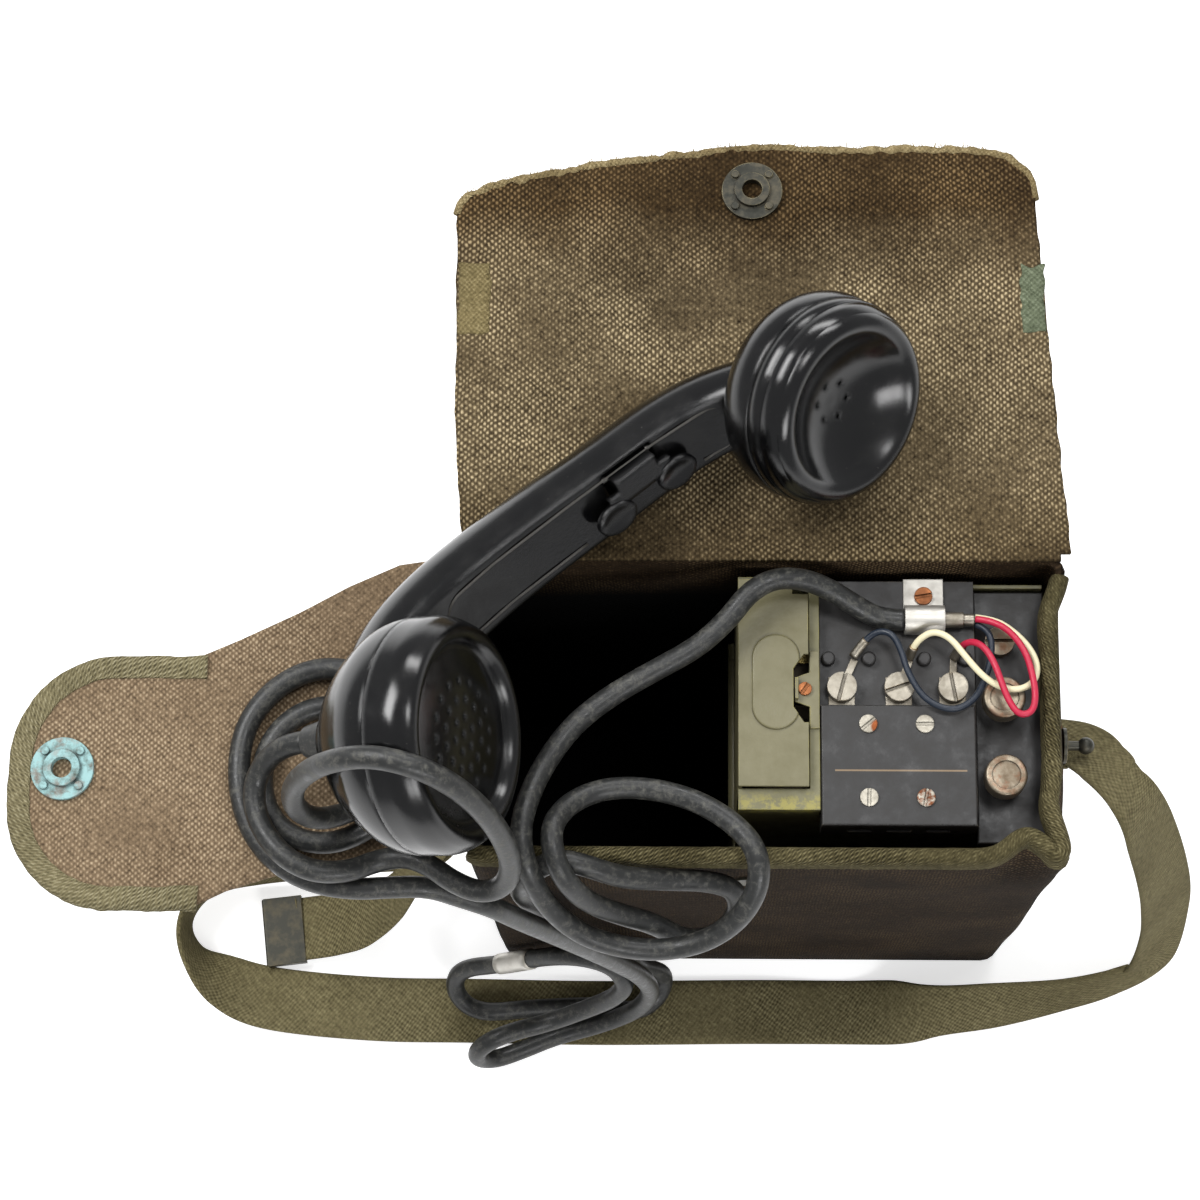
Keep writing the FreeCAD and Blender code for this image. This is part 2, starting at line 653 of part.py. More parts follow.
def flap_plate(z0, z1, inset):
    return Part.Face(flap_outline(z0, inset)).extrude(V(0, 0, z1 - z0))


side_snap_x = flap_end + side_snap_inset
side_snap_y = side_flap_skew + 4.0
side_flap = flap_plate(flap_low, flap_high, 0)
side_flap = side_flap.cut(rod((side_snap_x, side_snap_y, flap_low - 1), (0, 0, 1),
                              snap_hole, canvas + 2))
parts["side_flap"] = side_flap
edge_tape = flap_plate(flap_low - tape_skin, flap_high + tape_skin, -tape_skin)
edge_tape = edge_tape.cut(flap_plate(flap_low - tape_skin - 1, flap_high + tape_skin + 1,
                                     tape_width - tape_skin - 1.5))
edge_tape = edge_tape.cut(flap_plate(flap_low - 0.05, flap_high + 0.05, -0.05))
edge_tape = edge_tape.common(box(flap_end - 5, taper_x + 2, lobe_front - 5, lobe_back + 5,
                                 flap_low - 5, flap_high + 5))
parts["side_flap_binding"] = edge_tape
parts["side_flap_socket"] = snap_socket(side_snap_x, side_snap_y, flap_high)


# Studs on the walls, and the copper rivets that hold the bag's corners and tabs
def wall_stud(base, direction):
    flange = rod(base, direction, stud_flange, stud_flange_rise)
    neck = rod(base, direction, stud_neck, stud_stand)
    tip = V(*base) + V(*direction) * (stud_stand - stud_ball * 0.4)
    ball = Part.makeSphere(stud_ball, tip)
    return joined([flange, neck, ball])


strap_wall_x = half_width + strap_thickness + 2 * touch
front_wall_here = wall_y(front_stud_z)
right_stud = wall_stud((strap_wall_x, right_stud_y, stud_z), (1, 0, 0))
front_stud = wall_stud((lid_snap_x, -front_wall_here - stud_skew, front_stud_z), (0, -1, 0))
parts["wall_studs"] = Part.makeCompound([right_stud, front_stud])
corner_rivet_x = half_width - rivet_from_corner
corner_rivet_z = bag_height - rivet_below_mouth
strap_rivet_z = stud_z - 10.0
rivet_places = (
    (corner_rivet_x, wall_y(corner_rivet_z), corner_rivet_z, (0, 1, 0)),
    (-corner_rivet_x, wall_y(corner_rivet_z), corner_rivet_z, (0, 1, 0)),
    (strap_wall_x, right_stud_y - stud_flange - 0.5, strap_rivet_z, (1, 0, 0)),
    (strap_wall_x, right_stud_y + stud_flange + 0.5, strap_rivet_z, (1, 0, 0)),
    (-half_width, -buckle_rivet_y, buckle_z - 2.0, (-1, 0, 0)),
    (-half_width, buckle_rivet_y, buckle_z - 2.0, (-1, 0, 0)))
rivets = []
for x, y, z, out in rivet_places:
    base = (x + out[0] * stud_skew, y + out[1] * stud_skew, z)
    rivets.append(rod(base, out, rivet_radius, rivet_rise))
parts["bag_rivets"] = Part.makeCompound(rivets)

# Carrying strap: sewn to the right wall, laid along the ground, up to the left buckle
half_strap = strap_width / 2
wall_strap_x = half_width + strap_thickness / 2 + 2 * touch
buckle_in = -half_width - buckle_stand
buckle_out = buckle_in - buckle_sheet
strap_in = buckle_in + strap_thickness / 2
strap_out = buckle_out - strap_thickness / 2
strap_top = (((wall_strap_x, right_stud_y, stud_z - 15.0), (0, 1, 0), (1, 0, 0)),
             ((wall_strap_x, right_stud_y, stud_z + 7.0), (0, 1, 0), (1, 0, 0)))
strap_at_buckle = (((strap_in, 0.0, buckle_z - 9.0), (0, 1, 0), (1, 0, 0)),
                   ((strap_in, 0.0, buckle_z - 2.0), (0, 1, 0), (1, 0, 0)))
strap_past_buckle = (((strap_out, 0.0, buckle_z - 2.0), (0, 1, 0), (-1, 0, 0)),
                     ((strap_out, 0.0, buckle_z - 9.0), (0, 1, 0), (-1, 0, 0)))


def fitted_sections(sections):
    return tuple((fitted(*centre), across, up) for centre, across, up in sections)


strap_main = strap_loft(strap_top + fitted_sections(strap_round) + strap_at_buckle)
strap_free = strap_loft(strap_past_buckle + fitted_sections(strap_tail))
parts["carry_strap"] = Part.makeCompound([strap_main, strap_free])
tip_half = half_strap + strap_tip_skin + 2 * touch
tip_rise = strap_thickness / 2 + strap_tip_skin + 2 * touch
strap_tip = box(-strap_tip_length, 0, -tip_half, tip_half, -tip_rise, tip_rise)
strap_tip = strap_tip.makeFillet(1.0, [e for e in strap_tip.Edges
                                       if abs(e.CenterOfMass.x + strap_tip_length) < 0.01])
strap_tip.Placement = FreeCAD.Placement(V(*fitted(*strap_tip_place)),
                                        FreeCAD.Rotation(V(0, 0, 1), strap_tip_turn))
parts["strap_tip"] = strap_tip
buckle_half = half_strap + buckle_rim
buckle = box(buckle_out, buckle_in, -buckle_half, buckle_half,
             buckle_z - buckle_tall, buckle_z + buckle_tall)
for slot_z in buckle_slots:
    buckle = buckle.cut(box(buckle_out - 1, buckle_in + 1, -half_strap - 1, half_strap + 1,
                            buckle_z + slot_z - buckle_slot_half,
                            buckle_z + slot_z + buckle_slot_half))
buckle_lug = box(buckle_in, -half_width - 2 * touch, -buckle_lug_half, buckle_lug_half,
                 buckle_z + buckle_tall - buckle_lug_tall, buckle_z + buckle_tall)
parts["strap_buckle"] = joined([buckle, buckle_lug])

# Chassis: a pressed-steel frame with a shelf, ends and a low left side
floor_z = canvas + clear
frame_front = box(chassis_left, chassis_right, chassis_front, chassis_front + sheet,
                  floor_z, panel_top - panel_thickness - 6)
frame_back = box(chassis_left, chassis_right, chassis_back - sheet, chassis_back,
                 floor_z, panel_top - panel_thickness)
frame_floor = box(chassis_left, chassis_right, chassis_front, chassis_back,
                  floor_z, floor_z + sheet)
frame_right = box(chassis_right - sheet, chassis_right, chassis_front, chassis_back,
                  floor_z, side_bottom)
left_top = door_hinge_z - hinge_knuckle_radius - 2
frame_left = box(chassis_left, chassis_left + sheet, chassis_front, chassis_back,
                 floor_z, left_top)
frame_shelf = box(chassis_left, chassis_right, chassis_front, chassis_back,
                  shelf_height, shelf_height + sheet)
upright_front = box(chassis_left, panel_left - clear, chassis_front, chassis_front + sheet,
                    floor_z, chassis_top)
upright_back = box(chassis_left, panel_left - clear, chassis_back - sheet, chassis_back,
                   floor_z, chassis_top)
front_lip = box(chassis_left, panel_left - clear, chassis_front, chassis_front + flange_width,
                chassis_top - sheet, chassis_top)
right_rail = box(panel_left - 3.6, panel_left - clear, chassis_front, chassis_back,
                 chassis_top - 5, chassis_top)
catch_tab = box(catch_screw_x - 3.0, panel_left - clear, catch_screw_y - 3.5,
                catch_screw_y + 3.5, chassis_top - 2.5, chassis_top)
partition = box(partition_x, partition_x + sheet, chassis_front, chassis_back,
                shelf_height, block_bottom - clear)
frame = joined([frame_front, frame_back, frame_floor, frame_right, frame_left, frame_shelf,
                upright_front, upright_back, front_lip, right_rail, catch_tab, partition])
frame = frame.cut(rod((catch_screw_x, catch_screw_y, chassis_top - 5), (0, 0, 1),
                      thread_radius, 10))
crank_bush = crank_shaft_radius + running
frame = frame.cut(rod((chassis_right - 5, generator_y, crank_axis_z), (1, 0, 0),
                      crank_hole - 2, 10))
bush = tube((chassis_right - sheet - 2, generator_y, crank_axis_z), (1, 0, 0),
            crank_hole, crank_bush, sheet + 4)
frame = joined([frame, bush])
hinge_x = chassis_left + sheet / 2
frame_ears = []
for y in (door_front, door_back - ear_length):
    barrel = tube((hinge_x, y, door_hinge_z), (0, 1, 0), hinge_knuckle_radius,
                  hinge_pin_radius, ear_length)
    leg = box(chassis_left, chassis_left + sheet, y, y + ear_length, left_top - 1,
              door_hinge_z - hinge_pin_radius - 0.6)
    frame_ears += [barrel, leg]
frame = joined([frame] + frame_ears)
parts["base_frame"] = frame

# Battery tray with its two dry cells and the spring strips that press on them
foot_left = chassis_left + 11.0
foot_right = chassis_left + 25.0
tray = box(chassis_left + sheet + 2 * clear, partition_x - clear, chassis_front + sheet + clear,
           chassis_back - sheet - clear, tray_height, tray_height + tray_sheet)
tray_front = chassis_front + sheet + clear
tray_back = chassis_back - sheet - clear
tray_foot = box(foot_left, foot_right, tray_front, tray_front + tray_sheet,
                shelf_height + sheet, tray_height)
tray_heel = box(foot_left, foot_right, tray_back - tray_sheet, tray_back,
                shelf_height + sheet, tray_height)
parts["battery_tray"] = joined([tray, tray_foot, tray_heel])
cell_x = partition_x - clear - cell_radius - 1.0
cell_middle = (chassis_front + chassis_back) / 2
cell_spacing = cell_radius + 1.0
cell_places = ((cell_x, cell_middle - cell_spacing), (cell_x, cell_middle + cell_spacing))
cell_base = tray_height + tray_sheet
cells = []
for x, y in cell_places:
    can = rod((x, y, cell_base), (0, 0, 1), cell_radius, cell_height)
    cap = rod((x, y, cell_base + cell_height), (0, 0, 1), cell_cap_radius, cell_cap_height)
    cells.append(can.fuse(cap))
parts["dry_cells"] = Part.makeCompound(cells)
contact_low = cell_base + cell_height + cell_cap_height
contacts = []
for x, y in cell_places:
    riser_x = panel_left + 2.0
    strip = box(x - 4, riser_x + contact_sheet, y - 5, y + 5, contact_low,
                contact_low + contact_sheet)
    riser = box(riser_x, riser_x + contact_sheet, y - 5, y + 5, contact_low,
                panel_top - panel_thickness)
    contacts.append(joined([strip, riser]))
parts["cell_contacts"] = Part.makeCompound(contacts)

# Battery door: a flat top lip with an oval boss, and a side that hinges at its foot
door_left = chassis_left
lip_right = door_left + door_width
lip_low = door_top - sheet
door_side = box(door_left, door_left + sheet, door_front, door_back,
                door_hinge_z + hinge_knuckle_radius - 0.5, door_top)
door_lip = box(door_left, lip_right, door_front, door_back, lip_low, door_top)
lip_notch = box(lip_right - lip_notch_width, lip_right + 1, door_back - lip_notch_length,
                door_back + 1,
                lip_low - 1, door_top + 1)
catch_low = lip_low - 1
catch_inner = lip_right - catch_depth
catch_cut = prism([(lip_right + 1, catch_front, catch_low),
                   (lip_right - 1.5, catch_front, catch_low),
                   (catch_inner, catch_front + catch_depth, catch_low),
                   (catch_inner, catch_back - catch_depth, catch_low),
                   (lip_right - 1.5, catch_back, catch_low),
                   (lip_right + 1, catch_back, catch_low)], (0, 0, sheet + 2))
boss = rounded_plate(boss_x - emboss_width / 2, boss_x + emboss_width / 2,
                     boss_y - emboss_length / 2, boss_y + emboss_length / 2,
                     door_top - 0.2, door_top + emboss_rise, emboss_width / 2 - 0.05)
boss_top = [e for e in boss.Edges if abs(e.CenterOfMass.z - door_top - emboss_rise) < 0.01]
boss = boss.makeFillet(emboss_rise * 0.7, boss_top)
door = joined([door_side, door_lip]).cut(lip_notch).cut(catch_cut)
door = door.fuse(boss.cut(catch_cut))
door_barrel = tube((hinge_x, door_front + ear_length + ear_gap, door_hinge_z), (0, 1, 0),
                   hinge_knuckle_radius, hinge_pin_radius + running,
                   door_back - door_front - 2 * (ear_length + ear_gap))
door = door.cut(rod((hinge_x, door_front - 1, door_hinge_z), (0, 1, 0),
                    hinge_knuckle_radius + 0.4, ear_length + ear_gap + 1))
door = door.cut(rod((hinge_x, door_back - ear_length - ear_gap, door_hinge_z), (0, 1, 0),
                    hinge_knuckle_radius + 0.4, ear_length + 2))
parts["battery_door"] = joined([door, door_barrel])
parts["door_hinge_pin"] = rod((hinge_x, door_front - 0.8, door_hinge_z), (0, 1, 0),
                              hinge_pin_radius, door_back - door_front + 1.1)

# Door catch: a bracket strip on the rail with a small spring tongue
catch_sheet = 1.0
tongue_y = (catch_front + catch_back) / 2
tongue_left = lip_right - 4.4
tongue_right = panel_left - 3.0
catch_base = box(panel_left - 3.4, panel_left - clear - 2 * touch, catch_front - 1.5,
                 catch_back + 1.5, chassis_top, chassis_top + catch_sheet)
catch_tongue = prism([(tongue_left, tongue_y - 4, chassis_top),
                      (tongue_right, tongue_y - 6, chassis_top),
                      (tongue_right, tongue_y + 6, chassis_top),
                      (tongue_left, tongue_y + 4, chassis_top)], (0, 0, catch_sheet))
catch_hook = box(tongue_left, tongue_left + catch_sheet, tongue_y - 3.5, tongue_y + 3.5,
                 chassis_top, door_top + 0.4)
catch = joined([catch_base, catch_tongue, catch_hook])
parts["door_catch"] = catch.cut(rod((catch_screw_x, catch_screw_y, chassis_top - 1), (0, 0, 1),
                                    thread_radius, 3))

# Terminal panel, raised block and side plate, moulded in black
panel = box(panel_left, panel_right, block_front + 6, chassis_back, panel_top - panel_thickness,
            panel_top)
block = box(panel_left, panel_right - 0.6, block_front, block_back, panel_top, block_top)
block_skirt = box(panel_left, panel_right - 0.6, block_front, chassis_front - clear,
                  block_bottom, panel_top)
block = joined([block, block_skirt])
block_edges = [e for e in block.Edges if abs(e.CenterOfMass.z - block_top) < 0.01]
block = block.makeFillet(0.7, block_edges)
recess_gap = (panel_right - panel_left) / (block_recesses + 1)
for k in range(block_recesses):
    cx = panel_left + recess_gap * (k + 1)
    block = block.cut(box(cx - recess_half, cx + recess_half, block_front - 1,
                          block_front + recess_depth,
                          block_bottom + 4, block_bottom + 8))
side_plate = box(panel_right + clear, chassis_right + 0.5, side_front, side_back,
                 side_bottom, side_top)
side_edges = [e for e in side_plate.Edges if abs(e.CenterOfMass.z - side_top) < 0.01]
side_plate = side_plate.makeFillet(0.6, side_edges)

# Screws and what they hold down
screws = []
tags = []
for k, x in enumerate(terminal_x):
    lean = tag_leans[k]
    screws.append(slotted_screw(x, terminal_y, panel_top + tag_sheet + 0.1, terminal_head,
                                terminal_rise, 6.0, terminal_turns[k]))
    tag = box(x - tag_width / 2, x + tag_width / 2, terminal_y - tag_reach, terminal_y + 4.0,
              panel_top, panel_top + tag_sheet)
    tail = prism([(x - 1.3, terminal_y, panel_top), (x + 1.3, terminal_y, panel_top),
                  (x + lean + 1.1, terminal_y + 9.5, panel_top),
                  (x + lean - 1.1, terminal_y + 10.5, panel_top)], (0, 0, tag_sheet))
    tag = joined([tag, tail]).cut(rod((x, terminal_y, panel_top - 1), (0, 0, 1),
                                      thread_radius + 0.1, 4))
    tags.append(tag)
    panel = panel.cut(rod((x, terminal_y, panel_top - 7), (0, 0, 1), thread_radius, 8))
parts["terminal_screws"] = Part.makeCompound(screws)
parts["terminal_tags"] = Part.makeCompound(tags)
block_screws = []
block_screw_places = [(x, y) for y in block_screw_y for x in block_screw_x]
for (x, y), turn in zip(block_screw_places, block_screw_turns):
    block_screws.append(slotted_screw(x, y, block_top, block_screw_head, block_screw_rise,
                                      block_top - panel_top + 3, turn))
    block = block.cut(rod((x, y, panel_top - 8), (0, 0, 1), thread_radius, 20))
    panel = panel.cut(rod((x, y, panel_top - 8), (0, 0, 1), thread_radius, 9))
parts["block_screws"] = Part.makeCompound(block_screws)
parts["terminal_block"] = block
pegs = []
for x in peg_x:
    peg = rod((x, peg_y, panel_top), (0, 0, 1), peg_radius, peg_rise)
    top = [e for e in peg.Edges if abs(e.CenterOfMass.z - panel_top - peg_rise) < 0.01]
    pegs.append(peg.makeFillet(0.9, top))
parts["terminal_pegs"] = Part.makeCompound(pegs)

# Line posts: sprung caps on stems in collars, and the selector screw behind them
collars = []
for y in (post_front_y, post_rear_y):
    collar = rod((post_x, y, side_top), (0, 0, 1), collar_radius, collar_height)
    collars.append(collar.cut(rod((post_x, y, side_top - 1), (0, 0, 1),
                                  post_stem + running, collar_height + 2)))
    side_plate = side_plate.cut(rod((post_x, y, side_bottom - 1), (0, 0, 1),
                                    post_stem + running, side_top - side_bottom + 2))
parts["post_collars"] = Part.makeCompound(collars)


def line_post(y):
    low = post_cap_top - post_cap_height
    cap = rod((post_x, y, low), (0, 0, 1), post_cap_radius, post_cap_height)
    rim = [e for e in cap.Edges if abs(e.CenterOfMass.z - post_cap_top) < 0.01]
    cap = cap.makeFillet(1.0, rim)
    cup_depth = side_top + collar_height + clear - low + post_travel
    if cup_depth > 0:
        cap = cap.cut(rod((post_x, y, low - 1), (0, 0, 1), collar_radius + clear,
                          cup_depth + 1))
    cap = cap.cut(rod((post_x, y, post_cap_top - 0.6), (0, 0, 1), post_cap_radius - 2.2, 2))
    stem = rod((post_x, y, side_bottom - 4), (0, 0, 1), post_stem,
               post_cap_top - 1 - side_bottom + 4)
    return joined([cap, stem])


parts["line_post_front"] = line_post(post_front_y)
parts["line_post_rear"] = line_post(post_rear_y)
selector = joined([rod((post_x, selector_y, side_top + 0.1), (0, 0, 1), selector_radius,
                       selector_height),
                   rod((post_x, selector_y, side_bottom - 2), (0, 0, 1), selector_stem,
                       side_top - side_bottom + 3)])
selector = selector.cut(box(post_x - selector_radius - 1, post_x + selector_radius + 1,
                            selector_y - slot_width / 2, selector_y + slot_width / 2,
                            side_top + selector_height - slot_depth, side_top + 20))
parts["selector_screw"] = selector
side_plate = side_plate.cut(rod((post_x, selector_y, side_bottom - 1), (0, 0, 1),
                                selector_stem + running, side_top - side_bottom + 2))
parts["side_plate"] = side_plate
parts["terminal_panel"] = panel

# Cord clamp: a screwed plate and a saddle bent over the cord
near_route = [fitted(*point) for point in near_route]
far_route = [fitted(*point) for point in far_route]
cord_y = near_route[0][1]
cord_z = near_route[0][2]
saddle_outer = cord_radius + clamp_sheet + 2 * touch
plate_front = cord_y + saddle_outer - 1.2
plate_z = panel_top
clamp_left = clamp_x - clamp_width / 2
clamp_right = clamp_x + clamp_width / 2
clamp_plate = box(clamp_left, clamp_right, plate_front, plate_front + clamp_plate_depth,
                  plate_z, plate_z + clamp_sheet)
saddle = tube((clamp_left, cord_y, cord_z), (1, 0, 0), saddle_outer, cord_radius + 2 * touch,
              clamp_width)
saddle = saddle.common(box(clamp_left - 1, clamp_right + 1, cord_y - 20, cord_y + 20,
                           plate_z, plate_z + 30))
clamp_screw_y = plate_front + clamp_plate_depth * 0.45
clamp = joined([clamp_plate, saddle])
clamp = clamp.cut(rod((clamp_x, clamp_screw_y, plate_z - 1), (0, 0, 1), thread_radius, 4))
parts["cord_clamp"] = clamp
panel_hole = rod((clamp_x, clamp_screw_y, plate_z - 6), (0, 0, 1), thread_radius, 8)
parts["terminal_panel"] = parts["terminal_panel"].cut(panel_hole)
clamp_screw = slotted_screw(clamp_x, clamp_screw_y, plate_z + clamp_sheet, clamp_screw_head,
                            1.4, 5.0, 10)
catch_screw = slotted_screw(catch_screw_x, catch_screw_y, chassis_top + 1.0, 2.2, 1.2, 3.2, 55)
parts["clamp_screws"] = Part.makeCompound([clamp_screw, catch_screw])
ferrule = rod((clamp_left, cord_y, cord_z), (1, 0, 0), cord_radius, clamp_width)
ferrule = joined([ferrule, rod((clamp_right, cord_y, cord_z), (1, 0, 0), ferrule_radius,
                               ferrule_length),
                  rod((clamp_right + ferrule_length, cord_y, cord_z), (1, 0, 0),
                      ferrule_radius - 0.5, sleeve_length)])
parts["cord_ferrule"] = ferrule

# Coloured leads from the cord's end to the terminals
parts["wire_blue"] = cord_tube("wire_blue", [fitted(*p) for p in blue_route], wire_radius)
parts["wire_cream"] = cord_tube("wire_cream", [fitted(*p) for p in cream_route], wire_radius)
parts["wire_red"] = cord_tube("wire_red", [fitted(*p) for p in red_route], wire_radius)

# Hand generator: end plates, horseshoe magnets, a toothed train and the crank
axis_low = generator_z
plates = []
for x in (generator_left, generator_right):
    plate = box(x, x + generator_plate, generator_y - 32, generator_y + 32,
                shelf_height + sheet, axis_low + gear_module * gear_teeth)
    plate = plate.cut(rod((x - 1, generator_y, axis_low), (1, 0, 0), shaft_radius + running,
                          generator_plate + 2))
    if x == generator_right:
        plate = plate.cut(rod((x - 1, generator_y, crank_axis_z), (1, 0, 0),
                              crank_shaft_radius + running, generator_plate + 2))
    plates.append(plate)
tie = box(generator_left + generator_plate, generator_right, generator_y - 32,
          generator_y - 30, shelf_height + sheet, shelf_height + sheet + 6)
parts["generator_plates"] = joined(plates + [tie])
magnets = []
magnet_x = generator_left + generator_plate + 2
for k in range(magnet_count):
    x = magnet_x + k * magnet_pitch
    ring = tube((x, generator_y, axis_low), (1, 0, 0), magnet_outer, magnet_inner,
                magnet_thickness)
    ring = ring.common(box(x - 1, x + magnet_thickness + 1, generator_y - 40, generator_y + 40,
                           axis_low, axis_low + 40))
    legs = [box(x, x + magnet_thickness, generator_y + side, generator_y + side
                + magnet_outer - magnet_inner, axis_low - magnet_leg, axis_low)
            for side in (-magnet_outer, magnet_inner)]
    magnets.append(joined([ring] + legs))
yoke_x1 = magnet_x + (magnet_count - 1) * magnet_pitch + magnet_thickness
yoke = box(magnet_x, yoke_x1, generator_y - magnet_outer, generator_y + magnet_outer,
           shelf_height + sheet, axis_low - magnet_leg)
parts["generator_magnets"] = joined(magnets + [yoke])


def gear(teeth, width, x, z, bore, tooth_at_top):
    """A spur gear on an X axis with straight-sided teeth and some backlash."""
    pitch = gear_module * teeth / 2
    tip = pitch + gear_module * 0.9
    root = pitch - gear_module * 1.15
    step = 2 * math.pi / teeth
    start = math.pi / 2 if tooth_at_top else math.pi / 2 + step / 2
    points = []
    for k in range(teeth):
        turn = start + k * step
        for radius, share in ((root, -0.34), (tip, -0.12), (tip, 0.12), (root, 0.34)):
            angle = turn + share * step
            points.append((x, generator_y + radius * math.cos(angle),
                           z + radius * math.sin(angle)))
    blank = prism(points, (width, 0, 0))
    return blank.cut(rod((x - 1, generator_y, z), (1, 0, 0), bore, width + 2))


gear_x = generator_right - gear_width - 1.0
rotor_end = generator_right + generator_plate + 1
shaft = rod((generator_left - 1.5, generator_y, axis_low), (1, 0, 0), shaft_radius,
            rotor_end - generator_left + 1.5)
core = rod((magnet_x, generator_y, axis_low), (1, 0, 0), armature_radius,
           yoke_x1 - magnet_x)
pinion = gear(pinion_teeth, gear_width + 0.8, gear_x - 0.4, axis_low, shaft_radius - 0.5, False)
parts["armature"] = joined([shaft, core, pinion])
parts["drive_gear"] = gear(gear_teeth, gear_width, gear_x, crank_axis_z, crank_shaft_radius, True)
crank_in = gear_x - 0.5
arm_x = half_width + crank_stand
crank_end = arm_x + crank_arm_thickness
parts["crank_shaft"] = rod((crank_in, generator_y, crank_axis_z), (1, 0, 0), crank_shaft_radius,
                           crank_end - crank_in)
arm_low = crank_axis_z - crank_arm_length
arm_bar = box(arm_x, crank_end, generator_y - crank_arm_width / 2,
              generator_y + crank_arm_width / 2, arm_low, crank_axis_z)
arm = joined([arm_bar,
              rod((arm_x, generator_y, crank_axis_z), (1, 0, 0), crank_arm_width / 2 + 1.5,
                  crank_arm_thickness),
              rod((arm_x, generator_y, arm_low), (1, 0, 0), crank_arm_width / 2,
                  crank_arm_thickness),
              rod((arm_x, generator_y, arm_low), (1, 0, 0), 1.8,
                  crank_arm_thickness + knob_length + 0.8),
              rod((crank_end + knob_length + 0.3, generator_y, arm_low), (1, 0, 0), 2.8, 0.5)])
arm = arm.cut(rod((arm_x - 1, generator_y, crank_axis_z), (1, 0, 0), crank_shaft_radius,
                  crank_arm_thickness + 2))
parts["crank_arm"] = arm
knob = rod((crank_end + 0.2, generator_y, arm_low), (1, 0, 0), knob_radius, knob_length)
knob_rim = [e for e in knob.Edges if abs(e.CenterOfMass.x - crank_end - 0.2 - knob_length) < 0.01]
knob = knob.makeFillet(1.4, knob_rim)
parts["crank_knob"] = knob.cut(rod((crank_end - 1, generator_y, arm_low), (1, 0, 0),
                                   1.8 + running, knob_length + 3))

# Ringer: two gongs, a yoke with two coils under the shelf and a clapper between
gongs = []
stalk_radius = 2.0
for side in (-1, 1):
    x = ringer_x + side * gong_spread
    outer = revolved([(0.01, 0), (gong_radius * 0.55, -0.6), (gong_radius * 0.86, -4),
                      (gong_radius, -gong_depth), (gong_radius - gong_wall, -gong_depth),
                      (gong_radius * 0.86 - gong_wall, -4 - gong_wall),
                      (gong_radius * 0.55 - gong_wall, -0.6 - gong_wall), (0.01, -gong_wall)],
                     (x, chassis_front + 6.0, gong_z), (0, -1, 0))
    stem = rod((x, chassis_front + 4.0, gong_z), (0, 1, 0), stalk_radius, 18.0)
    upright = box(x - 3, x + 3, chassis_front + 22.0, chassis_front + 25.0, floor_z + sheet,
                  gong_z + 4)
    gongs.append(joined([outer, stem, upright]))
parts["ringer_gongs"] = Part.makeCompound(gongs)
yoke_plate = box(ringer_x - 20, ringer_x + 20, ringer_y - 11, ringer_y + 12,
                 shelf_height - 4, shelf_height)
front_ear = box(ringer_x - 4, ringer_x + 4, ringer_y - 10.5, ringer_y - 9,
                clapper_pivot_z - 4, shelf_height - 4)
back_ear = box(ringer_x - 4, ringer_x + 4, ringer_y - 4.5, ringer_y - 3,
               clapper_pivot_z - 4, shelf_height - 4)
pivot_pin = rod((ringer_x, ringer_y - 10.5, clapper_pivot_z), (0, 1, 0), 1.2, 7.5)
parts["ringer_frame"] = joined([yoke_plate, front_ear, back_ear, pivot_pin])
ringer_coils = []
for side in (-1, 1):
    x = ringer_x + side * coil_spread
    ringer_coils.append(rod((x, ringer_y + 4, shelf_height - 4 - coil_height), (0, 0, 1),
                            coil_radius, coil_height))
parts["ringer_coils"] = Part.makeCompound(ringer_coils)
hub = tube((ringer_x, ringer_y - 8.7, clapper_pivot_z), (0, 1, 0), 3.2, 1.2 + running, 3.9)
swing = rod((ringer_x, ringer_y - 6.7, gong_z), (0, 0, 1), 1.1, clapper_pivot_z - gong_z - 2.8)
reach_y = chassis_front + 10.0
foot_rod = rod((ringer_x, reach_y, gong_z), (0, 1, 0), 1.1, ringer_y - 6.7 - reach_y)
ball = Part.makeSphere(clapper_ball, V(ringer_x, reach_y, gong_z))
parts["ringer_clapper"] = joined([hub, swing, foot_rod, ball])

# Induction coil and condenser on the shelf, behind the generator's top
inside_back = chassis_back - sheet - clear
coil_bed = panel_top - panel_thickness
coil_length = panel_right - partition_x - sheet - 11
coil_z = coil_bed - 35.0
bracket_low = coil_bed - 49.0
condenser_left = partition_x + sheet + 8
condenser_right = condenser_left + 29.0
condenser_low = coil_bed - 57.0
condenser_high = coil_bed - 17.0
parts["induction_coil"] = joined([
    rod((partition_x + sheet + 6, inside_back - 14, coil_z), (1, 0, 0), 11.0, coil_length),
    box(partition_x + sheet + 4, partition_x + sheet + 6, inside_back - 27, inside_back - 1,
        bracket_low, coil_bed),
    box(partition_x + sheet + 6 + coil_length, partition_x + sheet + 8 + coil_length,
        inside_back - 27, inside_back - 1, 176.0, coil_bed)])
parts["condenser"] = joined([
    box(condenser_left, condenser_right, -24.0, -4.0, condenser_low, condenser_high),
    box(condenser_left, condenser_left + 4, -22.0, -6.0, condenser_high, coil_bed),
    box(condenser_right - 4, condenser_right, -22.0, -6.0, condenser_high, coil_bed)])


